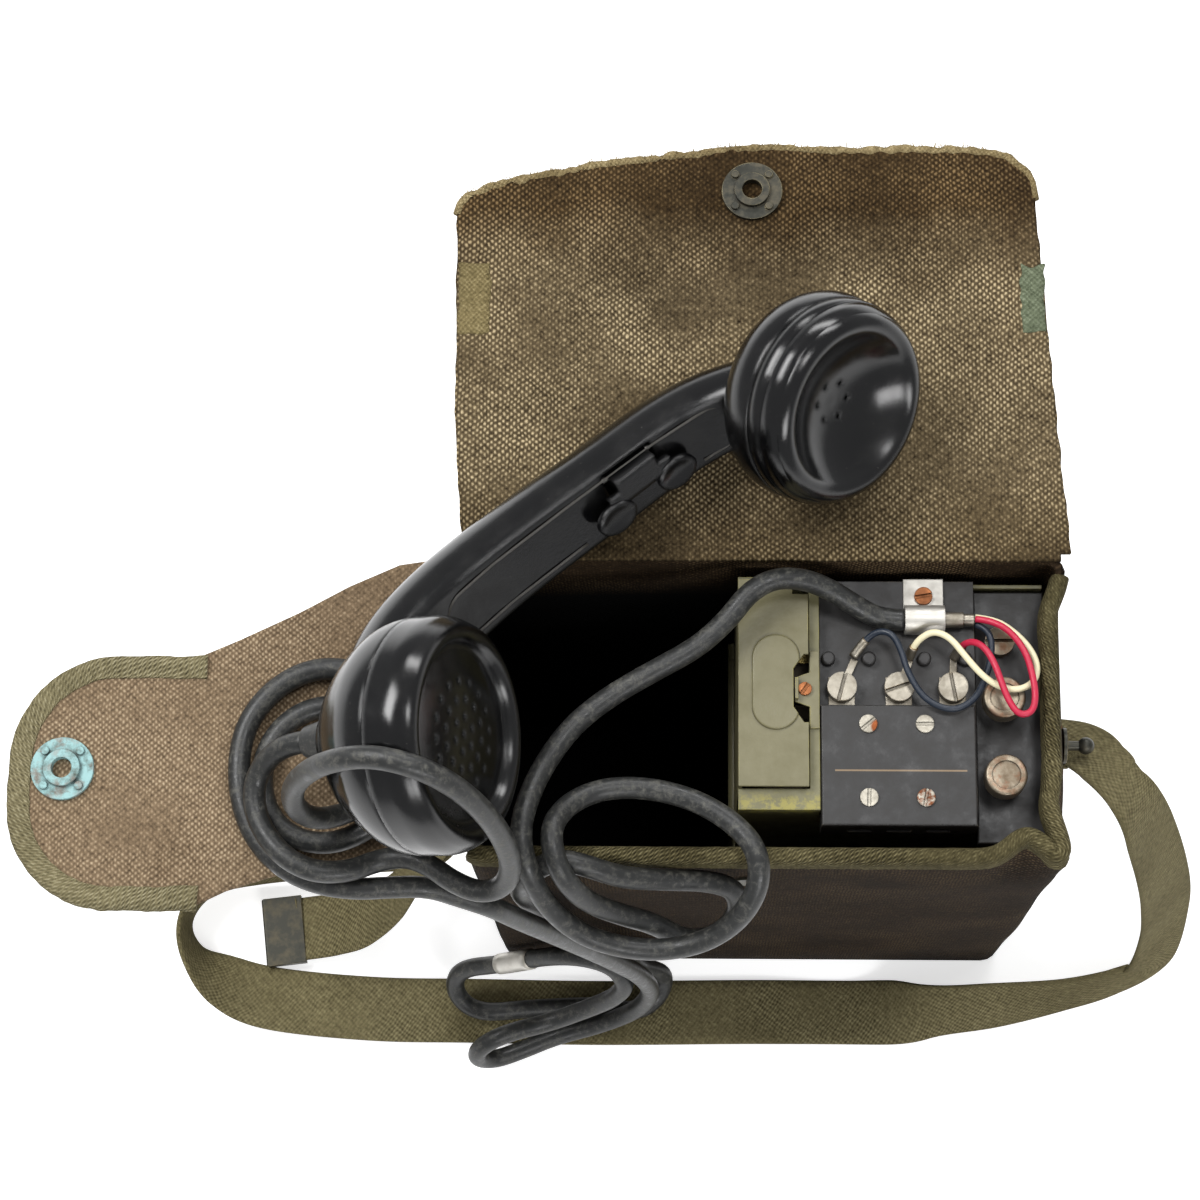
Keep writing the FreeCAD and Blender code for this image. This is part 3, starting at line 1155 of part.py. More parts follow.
# Handset, built in its own frame and then laid across the mouth of the bag
def handset_frame():
    azimuth = math.radians(handset_azimuth)
    pitch = math.radians(handset_pitch)
    roll = math.radians(handset_roll)
    along = V(math.cos(azimuth) * math.cos(pitch), math.sin(azimuth) * math.cos(pitch),
              math.sin(pitch))
    level = V(math.sin(azimuth), -math.cos(azimuth), 0)
    rising = level.cross(along)
    face = rising * math.cos(roll) + level * math.sin(roll)
    side = face.cross(along)
    c = handset_centre
    return FreeCAD.Placement(FreeCAD.Matrix(
        along.x, side.x, face.x, c[0], along.y, side.y, face.y, c[1],
        along.z, side.z, face.z, c[2], 0, 0, 0, 1))


handset_place = handset_frame()


def laid(shape):
    moved = shape.copy()
    moved.Placement = handset_place.multiply(moved.Placement)
    return moved


def turned(start, steps, base, axis):
    """Revolve an outline of lines and arcs, given as points or (middle, end) pairs."""
    edges = []
    here = V(start[0], 0, start[1])
    first = here
    for step in steps:
        if isinstance(step[0], tuple):
            middle, end = step
            end = V(end[0], 0, end[1])
            edges.append(Part.Arc(here, V(middle[0], 0, middle[1]), end).toShape())
        else:
            end = V(step[0], 0, step[1])
            edges.append(Part.LineSegment(here, end).toShape())
        here = end
    edges.append(Part.LineSegment(here, first).toShape())
    solid = Part.Face(Part.Wire(edges)).revolve(V(0, 0, 0), V(0, 0, 1), 360)
    solid.Placement = FreeCAD.Placement(base, FreeCAD.Rotation(V(0, 0, 1), axis))
    return solid


ear_lean = math.radians(ear_tilt)
mouth_lean = math.radians(mouth_tilt)
ear_axis = V(math.sin(ear_lean), 0, math.cos(ear_lean))
mouth_axis = V(math.sin(mouth_lean), 0, math.cos(mouth_lean))
ear_face = V(face_spacing / 2, 0, ear_sink)
mouth_face = V(-face_spacing / 2, 0, mouth_sink)
ear_inner = ear_radius - bakelite
mouth_inner = mouth_radius - bakelite
cap = turned((0, -ear_recess_depth),
             (((ear_recess_radius * 0.6, -ear_recess_depth * 0.75), (ear_recess_radius, -1.5)),
              ((ear_recess_radius + 2.8, 0), (ear_radius - 1.5, -1.8)),
              ((ear_radius - 0.35, -4.5), (ear_radius, -8.0)),
              (ear_radius, ear_seam), (ear_inner, ear_seam), (ear_inner, -9.0),
              (ear_recess_radius - 2.0, -5.5), (ear_recess_radius * 0.5, -12.0),
              (0, -ear_recess_depth - bakelite)),
             ear_face, ear_axis)
holes = []
for k in range(6):
    turn = math.radians(60 * k)
    side_axis = V(0, 1, 0)
    cross_axis = ear_axis.cross(side_axis)
    place = (ear_face + side_axis * (sound_ring * math.cos(turn))
             + cross_axis * (sound_ring * math.sin(turn)) - ear_axis * 20)
    holes.append(Part.makeCylinder(sound_hole, 40, place, ear_axis))
parts["receiver_cap"] = laid(cap.cut(Part.makeCompound(holes)))
grille = turned((0, -2.2),
                (((mouth_plate_radius * 0.5, -2.4), (mouth_plate_radius, -mouth_recess)),
                 (mouth_plate_radius + 1.5, -mouth_recess),
                 ((mouth_plate_radius + 5.0, 0), (mouth_radius - 2.0, -2.5)),
                 ((mouth_radius - 0.4, -6.0), (mouth_radius, -10.0)),
                 (mouth_radius, mouth_seam), (mouth_inner, mouth_seam), (mouth_inner, -8.5),
                 (mouth_plate_radius + 0.5, -7.0), (0, -5.4)),
                mouth_face, mouth_axis)
holes = []
for ring, count in sound_rings:
    for k in range(count):
        turn = 2 * math.pi * k / count
        place = (mouth_face + V(0, 1, 0) * (ring * math.cos(turn))
                 + mouth_axis.cross(V(0, 1, 0)) * (ring * math.sin(turn)) - mouth_axis * 20)
        holes.append(Part.makeCylinder(sound_hole, 40, place, mouth_axis))
parts["transmitter_cap"] = laid(grille.cut(Part.makeCompound(holes)))
ear_cup = turned((ear_inner, ear_seam),
                 ((ear_cup_radius - 0.8, ear_seam),
                  ((ear_cup_radius - 0.6, -22.0), (ear_cup_radius - 7.5, -31.5)),
                  (13.0, -ear_neck_depth), (0, -ear_neck_depth), (0, -ear_depth - 1),
                  (ear_inner, -ear_depth - 1)),
                 ear_face, ear_axis)
mouth_cup = turned((mouth_inner, mouth_seam),
                   ((mouth_radius, mouth_seam),
                    ((mouth_radius - 1.2, -23.0), (mouth_radius - 5.0, -30.0)),
                    ((mouth_radius - 14.5, -40.5), (mouth_cone_radius + 2.5, -mouth_cone_depth + 3)),
                    (mouth_cone_radius, -mouth_cone_depth), (0, -mouth_cone_depth),
                    (0, -mouth_depth), (mouth_inner, -mouth_depth)),
                   mouth_face, mouth_axis)
handle_half = handle_width / 2


def handle_section(along, rise, slope, inner, back, share):
    """A flat inner side, closed by two arcs round the back."""
    lean = math.radians(-slope)
    normal = V(-math.sin(lean), 0, math.cos(lean))
    centre = V(along, 0, rise)
    side = V(0, 1, 0)
    half = handle_half * share
    a = centre - side * (half * 0.8) + normal * inner
    b = centre + side * (half * 0.8) + normal * inner
    c = centre + side * half
    d = centre - normal * back
    e = centre - side * half
    return Part.Wire([Part.LineSegment(a, b).toShape(), Part.Arc(b, c, d).toShape(),
                      Part.Arc(d, e, a).toShape()])


handle = Part.makeLoft([handle_section(*row) for row in handle_sections], True, False)
ear_room = Part.makeCylinder(ear_inner, ear_depth + 15, ear_face - ear_axis * (ear_depth + 1),
                             ear_axis)
mouth_room = Part.makeCylinder(mouth_inner, mouth_depth + 15,
                               mouth_face - mouth_axis * mouth_depth, mouth_axis)
handle = handle.cut(ear_room).cut(mouth_room)
handset = ear_cup.fuse(mouth_cup).fuse(handle)
handle_face = handle_back + handle_inner
pocket_long, pocket_wide, pocket_deep = pocket_size
pocket = Part.makeBox(pocket_long, pocket_wide, pocket_deep,
                      V(lever_u - pocket_long / 2, lever_s - pocket_wide / 2, handle_face - 6.0))
handset = handset.cut(pocket)
pin_w = handle_face - pin_sink
pin_base = V(lever_u - 13, lever_s + 1.0, pin_w)
pin_room = Part.makeCylinder(pin_radius, pin_length + 0.2, pin_base, V(1, 0, 0))
handset = handset.cut(pin_room)
parts["handset_body"] = laid(handset)
receiver_unit = Part.makeCylinder(ear_inner - 1.5, ear_depth - 15.0,
                                  ear_face - ear_axis * (ear_depth + 1.0), ear_axis)
transmitter_unit = Part.makeCylinder(mouth_inner - 2.5, mouth_depth - 9.5,
                                     mouth_face - mouth_axis * mouth_depth, mouth_axis)
parts["handset_capsules"] = Part.makeCompound([laid(receiver_unit), laid(transmitter_unit)])
parts["switch_pin"] = laid(Part.makeCylinder(pin_radius, pin_length, pin_base + V(0.1, 0, 0),
                                             V(1, 0, 0)))
lever_low = handle_face + lever_rise
lever_high = lever_low + lever_sheet
hub_block = Part.makeBox(16.0, 4.4, lever_high - pin_w + 2.0,
                         V(lever_u - 8, lever_s - 1.2, pin_w - 2.0))
wings = []
for centre in (lever_u - lever_spread, lever_u + lever_spread):
    wing = Part.makeBox(wing_length, wing_width, lever_sheet,
                        V(centre - wing_length / 2, lever_s - 4.5 - wing_width, lever_low))
    upright = [e for e in wing.Edges if abs(e.Length - lever_sheet) < 0.01]
    wings.append(wing.makeFillet(wing_width / 2 - 0.5, upright))
bridge = Part.makeBox(2 * lever_spread, 5.0, lever_sheet,
                      V(lever_u - lever_spread, lever_s - 6.2, lever_low))
lever = joined([hub_block, bridge] + wings)
lever = lever.cut(Part.makeCylinder(pin_radius + running, 40.0, pin_base - V(7, 0, 0),
                                    V(1, 0, 0)))
parts["talk_switch"] = laid(lever)
outlet = Part.makeCone(mouth_cone_radius - 2.0, cord_radius + 1.4, outlet_length,
                       mouth_face - mouth_axis * mouth_cone_depth, mouth_axis * -1)
parts["cord_outlet"] = laid(outlet)
cord_end = handset_place.multVec(mouth_face - mouth_axis * (mouth_cone_depth + outlet_length))
outward = handset_place.Rotation.multVec(mouth_axis * -1)
lever_axis = handset_place.Rotation.multVec(V(1, 0, 0))
lever_pivot = handset_place.multVec(pin_base + V(13, 0, 0))
print("cord ends at", [round(c, 2) for c in cord_end], "heading", [round(c, 3) for c in outward])
print("lever pivot", [round(c, 2) for c in lever_pivot], "axis", [round(c, 4) for c in lever_axis])

# The free cord in two stretches, and the bare metal tag on it
parts["cord_near"] = cord_tube("cord_near", near_route, cord_radius)
cord_lead = cord_end + outward * 9.0
parts["cord_far"] = cord_tube("cord_far", far_route + [tuple(cord_lead), tuple(cord_end)],
                              cord_radius)
tag_from = V(*near_route[tag_run])
tag_line = (V(*near_route[tag_run + 1]) - tag_from).normalize()
tag_start = tag_from + tag_line * tag_offset
tag = Part.makeCylinder(tag_radius, tag_length, tag_start, tag_line)
parts["cord_tag"] = tag.cut(Part.makeCylinder(cord_radius, tag_length, tag_start, tag_line))

for name, shape in parts.items():
    solids = shape.Solids
    if not shape.isValid() or not solids:
        print("NOT VALID", name)
    for solid in solids:
        if solid.Volume <= 0:
            print("EMPTY SOLID", name)
    shape.exportStep("parts/" + name + ".step")
print(len(parts), "nodes")
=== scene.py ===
# %% [markdown]
# Field telephone in a canvas bag. The lid lies folded back, the side flap is laid out to
# the left, and a black handset rests across the mouth on its rubber cord. The steel,
# plastic, terminal and handset parts come from CAD and get their finishes here. The cloth,
# webbing, tape and cord are made here, with a few small pieces for the handset, because
# woven and hand-finished things need softer shapes than a solid model gives.

# %% Parts from model.glb in the world frame
import math
import random

import bpy
from mathutils import Matrix, Vector, noise


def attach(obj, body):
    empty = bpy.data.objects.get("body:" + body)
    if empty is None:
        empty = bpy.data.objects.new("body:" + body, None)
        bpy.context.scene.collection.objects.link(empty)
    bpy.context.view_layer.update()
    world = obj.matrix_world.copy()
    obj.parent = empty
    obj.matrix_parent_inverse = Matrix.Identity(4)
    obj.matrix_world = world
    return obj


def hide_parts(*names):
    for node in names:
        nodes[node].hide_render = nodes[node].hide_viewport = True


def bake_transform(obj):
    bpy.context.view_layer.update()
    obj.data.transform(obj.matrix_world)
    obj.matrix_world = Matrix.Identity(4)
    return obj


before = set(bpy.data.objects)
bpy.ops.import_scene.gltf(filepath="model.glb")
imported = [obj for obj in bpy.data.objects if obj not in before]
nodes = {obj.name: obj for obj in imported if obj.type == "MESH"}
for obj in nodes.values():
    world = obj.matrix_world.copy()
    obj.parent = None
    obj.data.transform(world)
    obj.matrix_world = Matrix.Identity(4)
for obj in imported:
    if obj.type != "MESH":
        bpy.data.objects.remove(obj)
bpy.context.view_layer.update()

# %% [markdown]
# The photograph was taken from nearly overhead with a long lens. Its place was worked out
# by fitting six of the bag's corners, four of the mouth and the front two of the bottom, at
# the size that the bag is made. It is set here as a position and the directions that point
# right and up in the picture.

# %% Camera
camera_place = Vector((-0.0266, -0.2216, 1.1971))
picture_right = Vector((0.9996, 0.0104, -0.0265))
picture_up = Vector((-0.0031, 0.9658, 0.2594))
back_to_lens = picture_right.cross(picture_up)
camera_data = bpy.data.cameras.new("camera")
camera_data.sensor_fit = "HORIZONTAL"
camera_data.angle = math.radians(22.593)
camera = bpy.data.objects.new("camera", camera_data)
turn = Matrix((picture_right, picture_up, back_to_lens)).transposed()
camera.matrix_world = Matrix.Translation(camera_place) @ turn.to_4x4()
bpy.context.scene.collection.objects.link(camera)
bpy.context.scene.camera = camera

# %% [markdown]
# Every shape below is a mesh made from a few rules: a line of points that a cross-section
# follows, or a sheet given by a function of two numbers. Each mesh carries a UV map that is
# measured in metres of cloth, so that a weave drawn on it has its real thread spacing.

# %% Mesh from points
def new_piece(name, points, faces, cloth):
    mesh = bpy.data.meshes.new(name)
    mesh.from_pydata([tuple(p) for p in points], [], faces)
    layer = mesh.uv_layers.new(name="cloth")
    for loop in mesh.loops:
        layer.data[loop.index].uv = cloth[loop.vertex_index]
    for face in mesh.polygons:
        face.use_smooth = True
    mesh.validate()
    piece = bpy.data.objects.new(name, mesh)
    bpy.context.scene.collection.objects.link(piece)
    return piece


def mm(*numbers):
    return Vector([n / 1000 for n in numbers])


# %% [markdown]
# A cord or a taped edge is one cross-section carried along a line. The section is turned as
# little as possible from one step to the next, unless the piece says which way is up.

# %% Section carried along a line
def directions(path):
    last = len(path) - 1
    return [(path[min(k + 1, last)] - path[max(k - 1, 0)]).normalized()
            for k in range(len(path))]


def carried(name, path, section, ups=None, size=None):
    """Carry a closed section of (across, up) along path; size(k) scales it."""
    tangents = directions(path)
    up = ups[0] if ups else tangents[0].orthogonal()
    points, cloth, faces = [], [], []
    count = len(section)
    around = [0.0]
    for a, b in zip(section, section[1:]):
        around.append(around[-1] + math.dist(a, b))
    along = 0.0
    for k, (place, ahead) in enumerate(zip(path, tangents)):
        if k:
            along += (place - path[k - 1]).length
        if ups:
            up = ups[k]
        up = (up - ahead * up.dot(ahead)).normalized()
        across = ahead.cross(up)
        grow = size(k) if size else 1.0
        for (a, b), girth in zip(section, around):
            points.append(place + across * (a * grow) + up * (b * grow))
            cloth.append((girth, along))
    for k in range(len(path) - 1):
        for j in range(count):
            i = (j + 1) % count
            faces.append((k * count + j, k * count + i, (k + 1) * count + i,
                          (k + 1) * count + j))
    faces.append(tuple(range(count))[::-1])
    faces.append(tuple(range(len(points) - count, len(points))))
    return new_piece(name, points, faces, cloth)


def circle(radius, count=20):
    steps = [2 * math.pi * k / count for k in range(count)]
    return [(radius * math.cos(a), radius * math.sin(a)) for a in steps]


# %% [markdown]
# A limp rubber cord lies in smooth curves, so its line is one NURBS spline of the third
# order. Blender works the line out, and the points it gives are what the tube follows.

# %% Smooth line through control points
def spline_line(name, control):
    data = bpy.data.curves.new(name, "CURVE")
    data.dimensions = "3D"
    data.resolution_u = 10
    spline = data.splines.new("NURBS")
    spline.points.add(len(control) - 1)
    for slot, place in zip(spline.points, control):
        slot.co = (*place, 1.0)
    spline.order_u = 3
    spline.use_endpoint_u = True
    holder = bpy.data.objects.new(name, data)
    bpy.context.scene.collection.objects.link(holder)
    bpy.context.view_layer.update()
    mesh = bpy.data.meshes.new_from_object(holder)
    line = [v.co.copy() for v in mesh.vertices]
    bpy.data.objects.remove(holder)
    bpy.data.meshes.remove(mesh)
    return line


def line_length(line):
    return sum((b - a).length for a, b in zip(line, line[1:]))


# %% [markdown]
# The cord is 7.2 mm rubber. It leaves the clamp on the terminal panel, crosses the mouth,
# hangs down the front, lies on the ground by the strap, climbs again and loops over the
# side flap before it goes into the end of the handset. The whole of it shows in the
# photograph, about two metres, so nothing is put away out of sight.

# %% Cord from the clamp to the handset
cord_width = 0.0072
cord_points = [mm(*place) for place in (
    (46.0, 30.8, 232.9), (38.5, 30.8, 232.9), (30.5, 34.2, 236.0), (21.5, 38.8, 241.0),
    (12.7, 41.2, 245.5), (2.8, 40.8, 248.5), (-5.7, 36.1, 248.2), (-12.6, 26.8, 247.5),
    (-22.7, 17.5, 246.8), (-37.3, 9.4, 246.6), (-50.9, 1.3, 246.6), (-62.5, -8.1, 246.8),
    (-71.3, -20.6, 248.0), (-76.8, -34.2, 253.5), (-79.0, -46.5, 258.0), (-76.5, -57.5, 254.0),
    (-70.5, -67.0, 241.0), (-59.5, -74.5, 229.0), (-44.2, -77.9, 224.0), (-30.5, -78.1, 224.0),
    (-17.5, -75.2, 229.0), (-7.7, -69.0, 238.0), (-2.4, -60.2, 246.5), (-3.1, -50.1, 250.5),
    (-10.1, -41.3, 249.0), (-20.9, -34.1, 247.5), (-32.9, -30.1, 247.0), (-44.8, -28.8, 247.0),
    (-55.7, -30.4, 248.0), (-65.1, -36.4, 252.0), (-69.6, -46.0, 259.5), (-66.1, -59.2, 257.9),
    (-58.5, -65.3, 242.4), (-47.7, -67.2, 229.0), (-36.1, -69.0, 221.0), (-26.1, -73.3, 211.6),
    (-15.7, -71.2, 208.4), (-8.3, -64.2, 213.0), (-9.6, -57.5, 221.9), (-19.2, -56.0, 228.7),
    (-32.8, -56.8, 234.0), (-46.5, -57.6, 242.0), (-57.8, -54.9, 249.1), (-66.8, -53.1, 250.5),
    (-76.1, -56.4, 245.9), (-80.3, -59.5, 232.4), (-79.5, -58.5, 206.4), (-74.8, -57.3, 160.8),
    (-66.6, -56.8, 113.8), (-46.8, -56.0, 68.5), (-46.5, -56.1, 37.6), (-38.8, -56.0, 23.6),
    (-33.8, -56.9, 13.5), (-35.8, -64.0, 5.8), (-44.4, -70.9, 5.8), (-57.5, -68.5, 6.2),
    (-72.4, -68.9, 6.9), (-89.9, -70.0, 6.9), (-105.3, -71.6, 6.5), (-114.0, -68.2, 8.3),
    (-117.7, -61.6, 14.3), (-113.9, -56.0, 22.6), (-96.9, -56.0, 34.1), (-73.1, -56.0, 63.0),
    (-54.7, -59.5, 65.5), (-47.9, -66.3, 56.2), (-53.0, -70.0, 44.2), (-63.0, -72.5, 32.0),
    (-79.0, -77.0, 22.0), (-96.6, -82.4, 28.1), (-106.3, -87.2, 23.3), (-108.1, -90.2, 12.9),
    (-101.0, -89.7, 4.4), (-90.6, -86.1, 5.8), (-76.5, -80.3, 6.8), (-59.0, -76.0, 9.0),
    (-44.5, -71.5, 19.0), (-38.5, -67.5, 42.0), (-42.0, -66.6, 80.0), (-51.0, -66.8, 118.0),
    (-61.0, -67.0, 153.0), (-71.0, -67.0, 185.0), (-80.5, -66.8, 212.0), (-88.5, -65.8, 233.0),
    (-98.5, -63.5, 238.8), (-108.5, -61.2, 244.6), (-120.8, -61.8, 246.3),
    (-131.7, -62.6, 246.6), (-144.3, -60.9, 246.6), (-155.0, -56.1, 246.6),
    (-164.1, -47.4, 246.6), (-169.4, -35.9, 246.6), (-171.3, -22.4, 246.6),
    (-169.5, -9.5, 246.6), (-162.7, 1.2, 246.6), (-152.4, 8.6, 246.6), (-141.0, 10.7, 246.6),
    (-128.8, 7.4, 246.6), (-118.8, -2.6, 246.6), (-114.2, -15.2, 246.6), (-115.7, -28.1, 246.6),
    (-121.8, -37.7, 246.6), (-130.4, -44.3, 246.6), (-140.7, -48.1, 246.6),
    (-151.2, -46.6, 246.6), (-159.2, -40.8, 246.6), (-163.2, -31.6, 246.6),
    (-163.3, -21.7, 246.6), (-159.5, -11.8, 246.6), (-151.9, -4.8, 246.6), (-142.2, -2.0, 246.6),
    (-132.5, -4.6, 246.6), (-125.3, -12.0, 246.6), (-123.6, -22.4, 246.6),
    (-127.3, -32.8, 246.8), (-135.6, -39.4, 251.9), (-143.9, -43.1, 262.3),
    (-148.7, -41.9, 276.1), (-147.4, -38.7, 292.2), (-140.9, -37.0, 308.5),
    (-132.0, -36.7, 323.0), (-120.5, -36.8, 331.0), (-108.1, -39.4, 332.3),
    (-97.3, -42.8, 325.0), (-88.2, -47.8, 310.5), (-82.2, -53.4, 292.0), (-80.1, -58.9, 273.5),
    (-82.8, -63.3, 260.0), (-90.8, -65.0, 254.8), (-99.6, -61.6, 254.6), (-107.5, -55.9, 254.0),
    (-115.5, -52.6, 252.0), (-124.5, -53.8, 250.0), (-133.4, -58.2, 254.0),
    (-143.8, -58.9, 256.5), (-153.2, -54.6, 256.5), (-160.3, -46.8, 255.5),
    (-164.6, -37.2, 255.0), (-163.5, -26.5, 257.5), (-153.6, -19.8, 269.2),
    (-145.5, -20.2, 273.1))]
cord_line = spline_line("cord_line", cord_points)
cord = carried("rubber_cord", cord_line, circle(cord_width / 2, 18))
print("cord length in mm:", round(line_length(cord_line) * 1000))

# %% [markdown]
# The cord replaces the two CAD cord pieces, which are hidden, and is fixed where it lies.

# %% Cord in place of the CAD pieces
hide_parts("cord_near", "cord_far")
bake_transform(cord)

# %% [markdown]
# A bare metal band is crimped round the cord near the ground. It follows the same line, so
# it grips the cord wherever the spline runs.

# %% Band on the cord
band_middle = Vector((-0.0800, -0.0530, 0.0280))
nearest = min(range(len(cord_line)), key=lambda k: (cord_line[k] - band_middle).length)
band_line, reach = [cord_line[nearest]], 0.0
left = right = nearest
while reach < 0.0175:
    left, right = left - 1, right + 1
    band_line = [cord_line[left]] + band_line + [cord_line[right]]
    reach = line_length(band_line)
band_ring = circle(0.0041, 24)
band = carried("cord_band", band_line, band_ring)
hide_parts("cord_tag")
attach(band, "bag")
line_length(cord_line)
print("band length in mm:", round(reach * 1000, 1))

# %% [markdown]
# At the clamp the jacket ends and three thin leads run on in loose bows to the terminals.
# They are soft wire with a coloured sleeve, each ending in a crimped tinned lug.

# %% Coloured leads
blue_points = [mm(*place) for place in (
    (29.0, 18.6, 231.0), (32.2, 22.9, 233.5), (36.7, 26.1, 236.5), (41.4, 24.9, 238.5),
    (44.3, 19.5, 238.5), (46.2, 12.2, 238.0), (50.6, 4.1, 238.0), (56.1, 0.0, 238.5),
    (62.2, -1.0, 238.5), (67.9, 2.5, 238.0), (71.4, 8.5, 237.0), (73.9, 16.1, 236.0),
    (74.6, 23.5, 234.5), (72.8, 28.2, 232.8), (69.4, 29.6, 232.2))]
cream_points = [mm(*place) for place in (
    (47.8, 18.6, 231.0), (48.2, 20.3, 234.5), (50.6, 23.3, 237.5), (55.0, 25.3, 239.8),
    (60.2, 22.8, 241.3), (64.9, 16.4, 241.8), (70.3, 9.7, 242.0), (76.3, 5.6, 242.0),
    (82.5, 4.9, 242.0), (87.6, 8.0, 241.0), (88.9, 13.9, 239.6), (86.4, 20.6, 237.6),
    (81.0, 27.0, 235.2), (75.5, 31.0, 232.9), (69.4, 31.9, 232.2))]
red_points = [mm(*place) for place in (
    (69.4, 30.8, 234.3), (73.5, 30.2, 235.3), (79.5, 26.4, 238.5), (84.4, 18.5, 242.2),
    (86.4, 9.8, 244.6), (87.2, 2.0, 245.6), (85.9, -3.4, 246.0), (81.6, -4.4, 246.0),
    (78.4, 0.1, 246.0), (76.1, 6.6, 246.0), (74.0, 13.4, 245.4), (71.0, 19.2, 243.6),
    (67.2, 21.9, 240.4), (63.8, 20.9, 235.8), (62.3, 18.4, 231.0))]
lead_radius = 0.0011
leads = []
for colour_name, control in (("blue", blue_points), ("cream", cream_points),
                             ("red", red_points)):
    line = spline_line("lead_line", control)
    lead = carried("lead_" + colour_name, line, circle(lead_radius, 12))
    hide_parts("wire_" + colour_name)
    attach(lead, "bag")
    line_length(line)
    foot = line if colour_name != "red" else line[::-1]
    lug = carried("lug_" + colour_name, foot[:9], circle(0.00155, 12),
                  size=lambda k: 1.0 + 0.08 * (k % 2))
    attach(lug, "bag")
    leads.append((lead, lug))
    print(colour_name, "lead in mm:", round(line_length(line) * 1000))

# %% [markdown]
# The lid and its front panel are one piece of heavy cotton duck. It lies nearly flat behind
# the bag, with the slack waves of old cloth, and bends at the crease between the two CAD
# panels. A sheet is given here by its middle surface, and gets its thickness from that.

# %% Sheet with thickness
def slab(name, point, columns, rows, thick):
    """point(s, t) gives the middle of the sheet; s runs over columns and t over rows."""
    grid = [[point(i / columns, j / rows) for i in range(columns + 1)]
            for j in range(rows + 1)]
    wide, tall = len(grid[0]), len(grid)

    def normal(i, j):
        across = grid[j][min(i + 1, wide - 1)] - grid[j][max(i - 1, 0)]
        along = grid[min(j + 1, tall - 1)][i] - grid[max(j - 1, 0)][i]
        return across.cross(along).normalized()

    points, cloth = [], []
    for side in (0.5, -0.5):
        for j in range(tall):
            for i in range(wide):
                points.append(grid[j][i] + normal(i, j) * (thick * side))
                cloth.append((grid[j][i].x, grid[j][i].y))
    below = wide * tall

    def at(i, j):
        return j * wide + i

    faces = []
    for j in range(tall - 1):
        for i in range(wide - 1):
            a, b, c, d = at(i, j), at(i + 1, j), at(i + 1, j + 1), at(i, j + 1)
            faces.append((a, b, c, d))
            faces.append((d + below, c + below, b + below, a + below))
    for i in range(wide - 1):
        a, b = at(i, 0), at(i + 1, 0)
        faces.append((b, a, a + below, b + below))
        a, b = at(i, tall - 1), at(i + 1, tall - 1)
        faces.append((a, b, b + below, a + below))
    for j in range(tall - 1):
        a, b = at(0, j), at(0, j + 1)
        faces.append((a, b, b + below, a + below))
        a, b = at(wide - 1, j), at(wide - 1, j + 1)
        faces.append((b, a, a + below, b + below))
    return new_piece(name, points, faces, cloth)


def between(value, table):
    """A value read off a table of (x, y) by straight lines."""
    if value <= table[0][0]:
        return table[0][1]
    for (x0, y0), (x1, y1) in zip(table, table[1:]):
        if value <= x1:
            return y0 + (y1 - y0) * (value - x0) / (x1 - x0)
    return table[-1][1]


def ease(value, low, high):
    share = min(max((value - low) / (high - low), 0.0), 1.0)
    return share * share * (3 - 2 * share)


def waves(x, y, length, seed):
    return noise.noise(Vector((x / length, y / length, seed)))


# %% Canvas lid
canvas = 0.0025
mouth = 241.4        # height of the mouth, and of the flaps laid out level with it
lid_fold_y = 51.3
lid_left = [(51.3, -100.5), (100.0, -104.0), (155.4, -104.6), (171.0, -104.9)]
lid_right = [(51.3, 100.5), (100.0, 97.0), (155.4, 93.2), (178.0, 92.4)]
worn_edge = [(-104.9, 172.0), (-103.4, 176.0), (-100.6, 178.8), (-93.8, 181.8),
             (-80.2, 185.4), (-56.2, 190.6), (-35.7, 193.0), (-6.5, 196.1), (30.0, 196.0),
             (67.0, 196.3), (78.0, 195.0), (84.0, 193.0), (88.5, 189.0), (90.5, 187.0),
             (91.8, 182.0), (92.4, 178.0)]
socket_place = Vector((-4.2, 178.8))


def lid_height(x, y):
    """Slack waves, in millimetres, that die out round the socket and at the fold."""
    calm = ease(math.dist((x, y), socket_place), 10.0, 26.0) * ease(y, 55.0, 80.0)
    under_handset = 1.0 - 0.8 * ease(70.0 - math.dist((x, y), (40.0, 95.0)), 0.0, 30.0)
    lift = 1.1 * waves(x, y, 48.0, 3.0) + 0.5 * waves(x, y, 20.0, 8.0)
    curl = -2.2 * ease(y, 172.0, 197.0) - 1.2 * ease(abs(x + 5.0), 88.0, 104.0)
    return (lift * under_handset + curl) * calm


def lid_point(s, t):
    rough_x = -104.9 + (92.4 + 104.9) * s
    end = between(rough_x, worn_edge)
    y = lid_fold_y + (end - lid_fold_y) * t
    x = between(y, lid_left) * (1 - s) + between(y, lid_right) * s
    ragged = 0.7 * waves(x, y, 3.0, 5.0) + 0.5 * waves(x, y, 9.0, 6.0)
    y += ragged * ease(t, 0.96, 1.0)
    x += 0.6 * waves(x, y, 6.0, 2.0) * (ease(s, 0.98, 1.0) - ease(1 - s, 0.98, 1.0))
    return mm(x, y, mouth + lid_height(x, y))


lid = slab("lid_canvas", lid_point, 110, 84, canvas)
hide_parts("lid_flap", "lid_front_flap")
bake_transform(lid)
print("lid in mm:", [round(c * 1000) for c in lid.dimensions])

# %% [markdown]
# The lid's outer edge has lost its binding, and what is left is a torn, furry rim. A lumpy
# cord of cloth follows the edge, and a few hundred short threads stand out of it. Patches
# of the old binding still hold on where the box corners were sewn.

